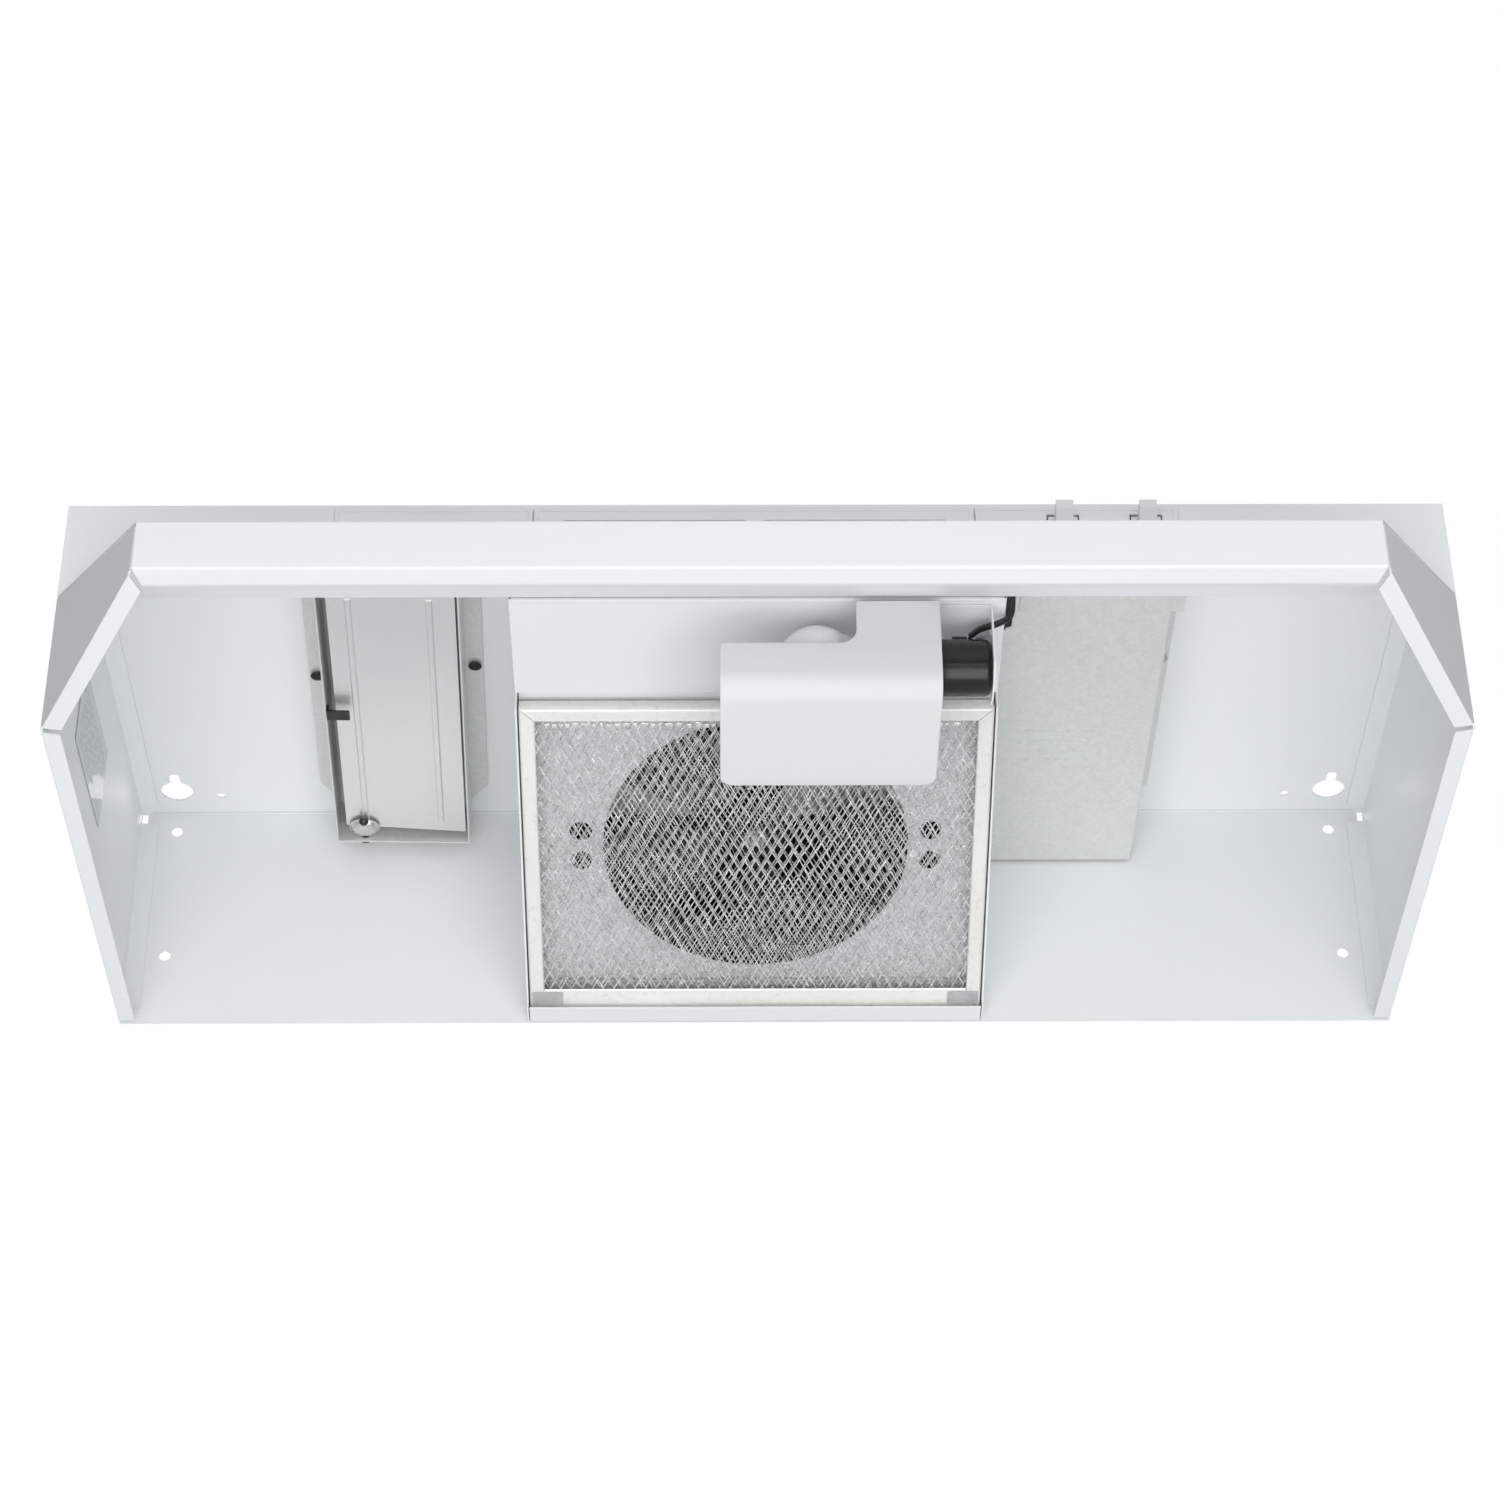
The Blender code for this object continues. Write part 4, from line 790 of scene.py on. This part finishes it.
def filter_crimps(look):
    """Short pressed dashes along the inner edge of the frame's front bar."""
    source = random.Random(7)
    bm = bmesh.new()
    s = FILTER_LENGTH - FILTER_RIM - 2.3 * MM
    low, high = -FILTER_HALF + FILTER_RIM + 2 * MM, FILTER_HALF - FILTER_RIM - 2 * MM
    x = low + 3 * MM
    while x < high - 6 * MM:
        long = source.uniform(1.4, 4.6) * MM
        tall = source.uniform(0.8, 1.6) * MM
        shift = source.uniform(-0.5, 0.5) * MM
        rounded_box(
            bm, Vector((x, s + shift - tall, 0.35 * MM)),
            Vector((x + long, s + shift + tall, 1.0 * MM)), 0.25 * MM, to_slope, 2,
        )
        x += long + source.uniform(1.0, 2.8) * MM
    piece("filter_crimps", bm, "filter", look)


def filter_corner_clips(look):
    """Thin clips over the frame's rear corners."""
    for side, name in ((-1, "left"), (1, "right")):
        bm = bmesh.new()
        outer = side * (FILTER_HALF - 0.5 * MM)
        inner = outer - side * 0.72 * INCH
        low, high = sorted((outer, inner))
        rounded_box(
            bm, Vector((low, 0.36 * INCH, -1.2 * MM)), Vector((high, 0.7 * INCH, -0.4 * MM)),
            0.3 * MM, to_slope,
        )
        node = f"filter_retainer_{name}"
        piece(f"{node}_finish", bm, frame["nodes"][node]["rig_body"], look, (node,))


# ---------------------------------------------------------------- lamp


def lamp_lens(look):
    """Moulded tray: an outline cut from one sheet, bent round the front, with rounded edges."""
    low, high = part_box("lamp_lens")
    wall = 2 * MM
    bend = 0.5 * INCH
    arm = hood(2.1, 0, 0).x
    top = hood(0, 0, 2.19).z
    fillet = 0.35 * INCH
    corner = 0.3 * INCH
    small = 0.12 * INCH
    drop = top - low.z
    flat = high.y - low.y
    curve = bend * math.pi / 2
    straight = drop - bend
    run = flat - bend
    end = -(curve + run)
    # Outline in (x, u): u is up the front wall from the start of the bend, and negative past it.
    outline = [(arm, high.z - low.z - bend)]
    outline += arc(fillet, (arm - fillet, straight + fillet), 0, -90, 7)
    outline += arc(small, (low.x + small, straight - small), 90, 180, 5)
    outline += arc(corner, (low.x + corner, end + corner), 180, 270, 7)
    outline += arc(corner, (high.x - corner, end + corner), 270, 360, 7)
    outline += [(high.x, high.z - low.z - bend)]
    bm = bmesh.new()
    bm.faces.new([bm.verts.new((x, u, 0)) for x, u in outline])
    steps = 18
    cuts = [-curve * index / steps for index in range(steps + 1)]
    cuts += [straight * 0.5, -curve - run * 0.5]
    for u in cuts:
        geometry = bm.verts[:] + bm.edges[:] + bm.faces[:]
        bmesh.ops.bisect_plane(bm, geom=geometry, dist=1e-7, plane_co=(0, u, 0), plane_no=(0, 1, 0))
    for vert in bm.verts:
        x, u, _ = vert.co
        if u >= 0:
            vert.co = (x, low.y, low.z + bend + u)
        elif u >= -curve:
            turn = -u / bend
            back, down = bend * math.cos(turn), bend * math.sin(turn)
            vert.co = (x, low.y + bend - back, low.z + bend - down)
        else:
            vert.co = (x, low.y + bend + (-u - curve), low.z)
    bmesh.ops.recalc_face_normals(bm, faces=bm.faces)
    bm.normal_update()
    front = max(bm.faces, key=lambda face: face.calc_center_median().z)
    if front.normal.y > 0:
        bmesh.ops.reverse_faces(bm, faces=bm.faces)
    # The wall thickness and its rounded edges are modifiers on the bent sheet.
    mesh = bpy.data.meshes.new("lens_tray")
    bm.to_mesh(mesh)
    bm.free()
    mesh.materials.append(look)
    mesh.shade_smooth()
    tray = bpy.data.objects.new("lens_tray", mesh)
    bpy.context.scene.collection.objects.link(tray)
    shell = tray.modifiers.new("wall", "SOLIDIFY")
    shell.thickness = wall
    shell.offset = -1
    shell.use_even_offset = True
    edge = tray.modifiers.new("edge", "BEVEL")
    edge.width = 0.8 * MM
    edge.segments = 3
    edge.limit_method = "ANGLE"
    edge.angle_limit = math.radians(50)
    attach(tray, "hood")
    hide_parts("lamp_lens")
    bm = bmesh.new()
    tab = 0.7 * INCH
    rounded_box(
        bm, Vector((arm + 1 * MM, low.y + wall + 0.3 * MM, high.z - wall)),
        Vector((high.x - 1 * MM, low.y + tab, high.z - 0.2 * MM)), 0.6 * MM,
    )
    piece("lens_hook", bm, "hood", look)


SOCKET_LOW, SOCKET_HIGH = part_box("lamp_socket")
LAMP_AXIS = Vector((0, (SOCKET_LOW.y + SOCKET_HIGH.y) / 2, (SOCKET_LOW.z + SOCKET_HIGH.z) / 2))


def along_lamp(across, up, along):
    return LAMP_AXIS + Vector((along, across, up))


def lamp_parts(looks):
    """Bulb, its threaded base, the socket and the socket's terminals."""
    low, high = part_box("bulb_glass")
    radius = (high.z - low.z) / 2
    centre = low.x + radius
    neck = 0.42 * INCH
    profile = [(0, low.x)]
    profile += [(radius * math.sin(turn), centre - radius * math.cos(turn))
                for turn in [math.radians(7 * step) for step in range(1, 19)]]
    start_radius, start = profile[-1]
    shoulder = 0.9 * INCH
    for step in range(1, 9):
        share = step / 8
        ease = 0.5 - 0.5 * math.cos(math.pi * share)
        around = start_radius + (neck - start_radius) * ease ** 0.72
        profile.append((around, start + shoulder * share))
    profile += [(neck, high.x - 2 * MM), (0, high.x - 2 * MM)]
    bm = bmesh.new()
    lathe(bm, profile, along_lamp, 56)
    piece("bulb_envelope", bm, "hood", looks["bulb_glass"], ("bulb_glass",), 60)

    low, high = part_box("bulb_base")
    turns, pitch = 6, 3.2 * MM
    crest, root = 0.5 * INCH, 0.475 * INCH
    outer = [(0.44 * INCH, low.x), (crest, low.x + 0.4 * MM)]
    for turn in range(turns):
        at = low.x + 2 * MM + turn * pitch
        outer += [(crest, at), (root, at + pitch * 0.5)]
    outer += [(crest, high.x - 6 * MM), (0.3 * INCH, high.x - 1.5 * MM), (0, high.x)]
    bm = bmesh.new()
    lathe(bm, [(0, low.x + 1.5 * MM), (0.43 * INCH, low.x + 1.5 * MM)] + outer, along_lamp, 40)
    piece("bulb_thread", bm, "hood", looks["nickel"], ("bulb_base",), 60)

    low, high = SOCKET_LOW, SOCKET_HIGH
    radius = (high.z - low.z) / 2
    bore = 0.545 * INCH
    round_end = 3.2 * MM
    profile = [(0, high.x)]
    profile += [(radius - round_end + dx, high.x - round_end + dy)
                for dx, dy in arc(round_end, (0, 0), 90, 0, 6)]
    profile += [(radius, low.x + 1 * MM), (radius - 0.6 * MM, low.x), (bore, low.x)]
    bottom = high.x - 0.35 * INCH
    profile += [(bore, bottom), (0, bottom)]
    bm = bmesh.new()
    lathe(bm, profile, along_lamp, 72)
    piece("socket_shell", bm, "hood", looks["black_plastic"], ("lamp_socket",), 40)
    bm = bmesh.new()
    for x, wide in ((3.55, 3.2), (4.35, 4.2)):
        centre = Vector((x * INCH, LAMP_AXIS.y - 2 * MM, LAMP_AXIS.z + radius))
        rounded_box(
            bm, centre - Vector((wide * MM, 4 * MM, 2 * MM)),
            centre + Vector((wide * MM, 4 * MM, 1.6 * MM)), 0.7 * MM,
        )
    piece("socket_terminals", bm, "hood", looks["black_plastic"])


# ---------------------------------------------------------------- screws


def cross_screw(name, node, look, upward=Vector((0, 0, 1))):
    """Pan head with a cross recess, its shank pointing upward."""
    low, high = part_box(node)
    body = frame["nodes"][node]["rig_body"]
    middle = (low + high) / 2
    reach = (high - low).dot(Vector(abs(value) for value in upward)) / 2
    radius = (high.x - low.x) / 2
    across = Vector((1, 0, 0))
    side = upward.cross(across)
    height = min(2.3 * MM, reach * 0.66)
    base = middle - upward * (reach * 0.98 - height)
    profile = [(0, 0), (radius * 0.97, 0), (radius, 0.25 * height), (radius * 0.93, 0.55 * height)]
    profile += [(radius * 0.7, 0.85 * height), (radius * 0.52, 0.95 * height)]
    locate = lambda a, b, c: base + across * a + side * b - upward * c
    bm = bmesh.new()
    lathe(bm, profile + [(0, 0.97 * height)], locate, 32)
    head = piece(name, bm, body, look, (node,), 50)
    cutter = bmesh.new()
    arm, half, deep = radius * 0.55, radius * 0.13, 0.6 * height
    for a, b in ((arm, half), (half, arm)):
        rounded_box(
            cutter, Vector((-a, -b, height - deep)), Vector((a, b, height * 1.3)), half * 0.4,
            lambda point: locate(*point), 1,
        )
    mesh = bpy.data.meshes.new(f"{name}_recess")
    bmesh.ops.recalc_face_normals(cutter, faces=cutter.faces)
    cutter.to_mesh(mesh)
    cutter.free()
    tool = bpy.data.objects.new(mesh.name, mesh)
    bpy.context.scene.collection.objects.link(tool)
    carve = head.modifiers.new("recess", "BOOLEAN")
    carve.operation = "DIFFERENCE"
    carve.solver = "EXACT"
    carve.use_self = True
    carve.object = tool
    graph = bpy.context.evaluated_depsgraph_get()
    carved = bpy.data.meshes.new_from_object(head.evaluated_get(graph))
    head.modifiers.clear()
    head.data = carved
    bpy.data.objects.remove(tool)
    bm = bmesh.new()
    shank = radius * 0.42
    long = reach * 2 - height
    profile = [(0, 0), (shank, 0), (shank, -long * 0.9), (shank * 0.6, -long), (0, -long)]
    lathe(bm, profile, locate, 20)
    piece(f"{name}_shank", bm, body, look)


# ---------------------------------------------------------------- canopy details


def weld_marks(look):
    """Spot welds through the flanges of both side panels."""
    flange_middle = 15 - 0.24
    lap = 2.3 * MM
    bm = bmesh.new()
    for side in (-1, 1):
        for step in range(4):
            z = 0.85 + 1.35 * step
            place = hood(side * flange_middle, 0, z)
            place.y = WALL_Y - lap
            dimple(bm, place, Vector((1, 0, 0)), Vector((0, 0, 1)), 2.6 * MM, 0.22 * MM)
        for step in range(5):
            place = hood(side * flange_middle, 1.6 + 2.2 * step, 0)
            place.z = CAD_HIGH.z - lap
            dimple(bm, place, Vector((0, 1, 0)), Vector((1, 0, 0)), 2.6 * MM, 0.22 * MM)
    piece("weld_marks", bm, "hood", look)


def ledge_details(look):
    """Pressed pads and locating dots of the ledge that carries the filter."""
    low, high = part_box("filter_ledge")
    bm = bmesh.new()
    for x in (-2.53, 2.62):
        centre = Vector((x * INCH, (low.y + high.y) / 2 - 1 * MM, low.z))
        rounded_box(
            bm, centre + Vector((-12 * MM, -4.5 * MM, 0.15 * MM)),
            centre + Vector((12 * MM, 4.5 * MM, 1.5 * MM)), 1.1 * MM,
        )
    for x in (-1.2, 1.6):
        centre = Vector((x * INCH, low.y + 3.2 * MM, low.z + 0.7 * MM))
        dimple(bm, centre, Vector((0, 1, 0)), Vector((1, 0, 0)), 1.5 * MM, 0.5 * MM)
    piece("ledge_pads", bm, "hood", look)


def cover_details(look):
    """Wide front tab, side lugs and rows of blank pressed dashes on the wiring cover."""
    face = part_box("wiring_cover")[0].z
    row_gap, dash_gap = 0.38, 0.235
    bm = bmesh.new()
    for row, (count, start) in enumerate(((7, 6.32), (8, 6.18), (4, 6.62), (7, 6.36))):
        for index in range(count):
            place = hood(start + dash_gap * index, 5.55 - row_gap * row, 0)
            place.z = face
            rounded_box(
                bm, place + Vector((-2.1 * MM, -0.9 * MM, -0.5 * MM)),
                place + Vector((2.1 * MM, 0.9 * MM, 0.5 * MM)), 0.25 * MM, segments=2,
            )
    piece("cover_dashes", bm, "hood", look)
    bm = bmesh.new()
    near = hood(0, 11.9, 0).y
    far = hood(0, 10.15, 0).y
    rounded_box(
        bm, Vector((5.78 * INCH, near, face - 0.75 * MM)),
        Vector((9.42 * INCH, far, face - 0.05 * MM)), 0.2 * MM,
    )
    for t, z in ((7.9, 5.0), (4.6, 5.25)):
        place = hood(9.15, t, z)
        rounded_box(
            bm, place + Vector((0, -5 * MM, -3 * MM)), place + Vector((2.6 * MM, 5 * MM, 3 * MM)),
            0.5 * MM,
        )
    piece("cover_tabs", bm, "hood", look)


def connector_details(ball, knob):
    """Ball and knob at the end of the damper flap's pivot; both ride with the flap."""
    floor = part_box("duct_collar")[0].z
    bm = bmesh.new()
    spot = FLAP_PIVOT + FLAP_AXIS * (4.5 * INCH)
    spot.z = floor + 3 * MM
    profile = [(0, 8 * MM), (2.5 * MM, 7.6 * MM), (5 * MM, 6.4 * MM), (7 * MM, 4 * MM)]
    profile += [(8 * MM, 1.4 * MM), (8.6 * MM, 0.3 * MM), (9.2 * MM, 0), (0, 0)]
    lathe(bm, profile, lambda a, b, c: spot + Vector((a, b, -c * 0.5)), 32)
    body = frame["nodes"]["damper_flap"]["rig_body"]
    piece("connector_ball", bm, body, ball)
    bm = bmesh.new()
    spot = FLAP_PIVOT + FLAP_AXIS * (4.16 * INCH)
    spot.z = floor + 1.6 * MM
    profile = [(0, 2.6 * MM), (1.8 * MM, 2.2 * MM), (2.9 * MM, 1 * MM), (2.9 * MM, 0), (0, 0)]
    lathe(bm, profile, lambda a, b, c: spot + Vector((a, b, -c)), 20)
    piece("connector_knob", bm, body, knob)


def rockers(look):
    """Drum shaped rocker switches with a tall, softly rounded fin."""
    drum, face = 0.47 * INCH, -0.1 * INCH
    root = face + 1 * MM
    turns = [0.44 * math.pi * (index / 8 - 1) for index in range(17)]
    for name in ("fan", "light"):
        node = f"{name}_switch_rocker"
        low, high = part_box(node)
        spot = Vector(JOINTS[f"{name}_switch_tilt"]["pos_m"])
        spot.x = (low.x + high.x) / 2
        tip = low.y - spot.y
        barrel = [(drum * math.cos(turn), drum * math.sin(turn)) for turn in turns]
        barrel += [(face, drum * 0.94), (face, -drum * 0.94)]
        fin = [(root, -0.36 * INCH), (root, 0.42 * INCH), (tip, 0.5 * INCH), (tip, 0.28 * INCH)]
        parts = ((barrel, (high.x - low.x) / 2, 0.3 * MM), (fin, 0.19 * INCH, 1.3 * MM))
        bm = bmesh.new()
        for outline, half, round_off in parts:
            rings = [
                [bm.verts.new(spot + Vector((x, y, z))) for y, z in outline] for x in (-half, half)
            ]
            fill(bm, rings)
            own = set(rings[0] + rings[1])
            edges = [
                edge for edge in bm.edges
                if own.issuperset(edge.verts) and edge.calc_face_angle() > SHARP_ANGLE
            ]
            bmesh.ops.bevel(
                bm, geom=edges, offset=round_off, segments=3, profile=0.5, affect="EDGES"
            )
        piece(f"{node}_finish", bm, frame["nodes"][node]["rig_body"], look, (node,))


def fold_beads(look):
    """Enamel run into the fold of top and back, and the roll behind the floor's front edge."""
    bm = bmesh.new()
    bead = 0.6 * MM
    fold_z = CAD_HIGH.z - 1.6 * MM
    for side in (-1, 1):
        left, right = sorted((side * 5.45 * INCH, side * 14.7 * INCH))
        rounded_box(
            bm, Vector((left, WALL_Y - 2.1 * MM, fold_z - bead)),
            Vector((right, WALL_Y - 0.9 * MM, fold_z + bead)), 0.55 * MM,
        )
    piece("fold_beads", bm, "hood", look)
    bm = bmesh.new()
    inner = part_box("socket_bracket")[1].z
    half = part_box("fan_housing")[1].x - 1.5 * MM
    near, far = hood(0, 11.955, 0).y, hood(0, 11.86, 0).y
    rounded_box(
        bm, Vector((-half, near, inner - 0.6 * MM)), Vector((half, far, inner + 1.6 * MM)),
        0.3 * MM, segments=2,
    )
    piece("floor_front_roll", bm, "hood", look)


def grille_frame(look):
    """Raised bead round the outlet grille, the blank and the switch windows."""
    bm = bmesh.new()
    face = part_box("vent_grille")[0].y
    bead, inset = 0.7 * MM, 2.2 * MM
    for name in ("front_blank", "vent_grille", "switch_plate"):
        low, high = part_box(name)
        x = (low.x + inset, high.x - inset)
        z = (low.z + inset, high.z - inset)
        bars = (
            ((x[0], z[0]), (x[1], z[0] + bead)), ((x[0], z[1] - bead), (x[1], z[1])),
            ((x[0], z[0]), (x[0] + bead, z[1])), ((x[1] - bead, z[0]), (x[1], z[1])),
        )
        for (x0, z0), (x1, z1) in bars:
            rounded_box(
                bm, Vector((x0, face - 0.35 * MM, z0)), Vector((x1, face + 0.4 * MM, z1)),
                0.25 * MM, segments=2,
            )
    piece("trim_beads", bm, "hood", look)


# ---------------------------------------------------------------- assembly

SHEET_EDGE = 0.22 * MM

# Radius of each carried over node's rounded edges; 0 leaves its edges as they are
SOFT_EDGES = {
    "top_back_panel": SHEET_EDGE, "front_visor": SHEET_EDGE, "left_side_panel": SHEET_EDGE,
    "right_side_panel": SHEET_EDGE, "top_round_knockout": 0.15 * MM, "top_rect_knockout": 0.15 * MM,
    "back_rect_knockout": 0.15 * MM, "top_conduit_knockout": 0.15 * MM,
    "back_conduit_knockout": 0.15 * MM, "fan_housing": SHEET_EDGE, "orifice_plate": SHEET_EDGE,
    "filter_ledge": 0.2 * MM, "socket_bracket": SHEET_EDGE, "front_blank": 0.5 * MM,
    "vent_grille": 0.4 * MM, "switch_plate": 0.5 * MM, "fan_switch_case": 0.6 * MM,
    "light_switch_case": 0.6 * MM, "damper_clip": 0.3 * MM, "damper_pivot_front": 0.3 * MM,
    "damper_pivot_rear": 0.3 * MM, "wiring_cover": SHEET_EDGE, "duct_collar": SHEET_EDGE,
    "motor_bracket": 0.25 * MM, "motor_front_bridge": 0.25 * MM, "motor_rear_bridge": 0.25 * MM,
    "motor_stator": 0.4 * MM, "motor_rotor": 0.3 * MM, "motor_shaft": 0.3 * MM,
    "impeller_nut": 0.5 * MM, "motor_coil": 0.0, "front_bearing": 0.3 * MM,
    "rear_bearing": 0.3 * MM, "impeller": 0.0, "damper_flap": 0.06 * MM, "wire_grommet": 0.3 * MM,
    "lamp_lead_front": 0.0, "lamp_lead_rear": 0.0, "motor_lead_front": 0.0, "motor_lead_rear": 0.0,
    "wiring_label": 0.0,
}

# Sheets with painted shade on their inner side, where they face the dark fan chamber
CHAMBER_SHADE_NODES = {
    "top_back_panel", "fan_housing", "orifice_plate", "top_round_knockout", "top_rect_knockout",
    "back_rect_knockout",
}


def make_looks():
    return {
        "enamel": enamel(),
        "chamber": enamel_with_chamber_shade(),
        "white_plastic": white_plastic(),
        "black_plastic": black_plastic(),
        "black_screw": black_steel(),
        "grey_plastic": clip_plastic(),
        "galvanised": galvanised(),
        "steel": steel(),
        "laminated": laminated_steel(),
        "copper": copper_winding(),
        "bronze": sintered_bronze(),
        "aluminium": bright_aluminium(),
        "filter_frame": filter_aluminium(),
        "filter_foil": foil(),
        "bulb_glass": soft_glass(),
        "nickel": nickel(),
        "frosted_plastic": frosted_plastic(),
        "rubber": rubber(),
        "wire": insulation(),
        "label": printed_label(),
    }


def main():
    make_camera()
    make_studio()
    looks = make_looks()
    slots = {part["node"]: part["material_slot"] for part in frame["record"]["subparts"]}
    special = {"motor_stator": "laminated", "impeller": "black_plastic"}
    for node, width in SOFT_EDGES.items():
        # the chamber look paints shade on the inner faces of the chamber sheets
        look = "chamber" if node in CHAMBER_SHADE_NODES else special.get(node, slots[node])
        soften(node, looks[look], width)
    layers = [foil_layer(index, looks["filter_foil"]) for index in range(len(FOIL_LAYERS))]
    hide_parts("filter_mesh")
    filter_channel(looks["filter_frame"])
    filter_crimps(looks["filter_foil"])
    filter_corner_clips(looks["grey_plastic"])
    lamp_lens(looks["frosted_plastic"])
    lamp_parts(looks)
    for side in ("left", "right"):
        cross_screw(
            f"bracket_{side}_head", f"bracket_screw_{side}", looks["steel"], -SLOPE_NORMAL
        )
        cross_screw(
            f"collar_{side}_head", f"collar_screw_{side}", looks["black_screw"]
        )
    cross_screw("cover_head", "wiring_cover_screw", looks["steel"])
    weld_marks(looks["enamel"])
    ledge_details(looks["enamel"])
    cover_details(looks["galvanised"])
    connector_details(looks["nickel"], looks["black_plastic"])
    fold_beads(looks["enamel"])
    rockers(looks["white_plastic"])
    grille_frame(looks["white_plastic"])


main()
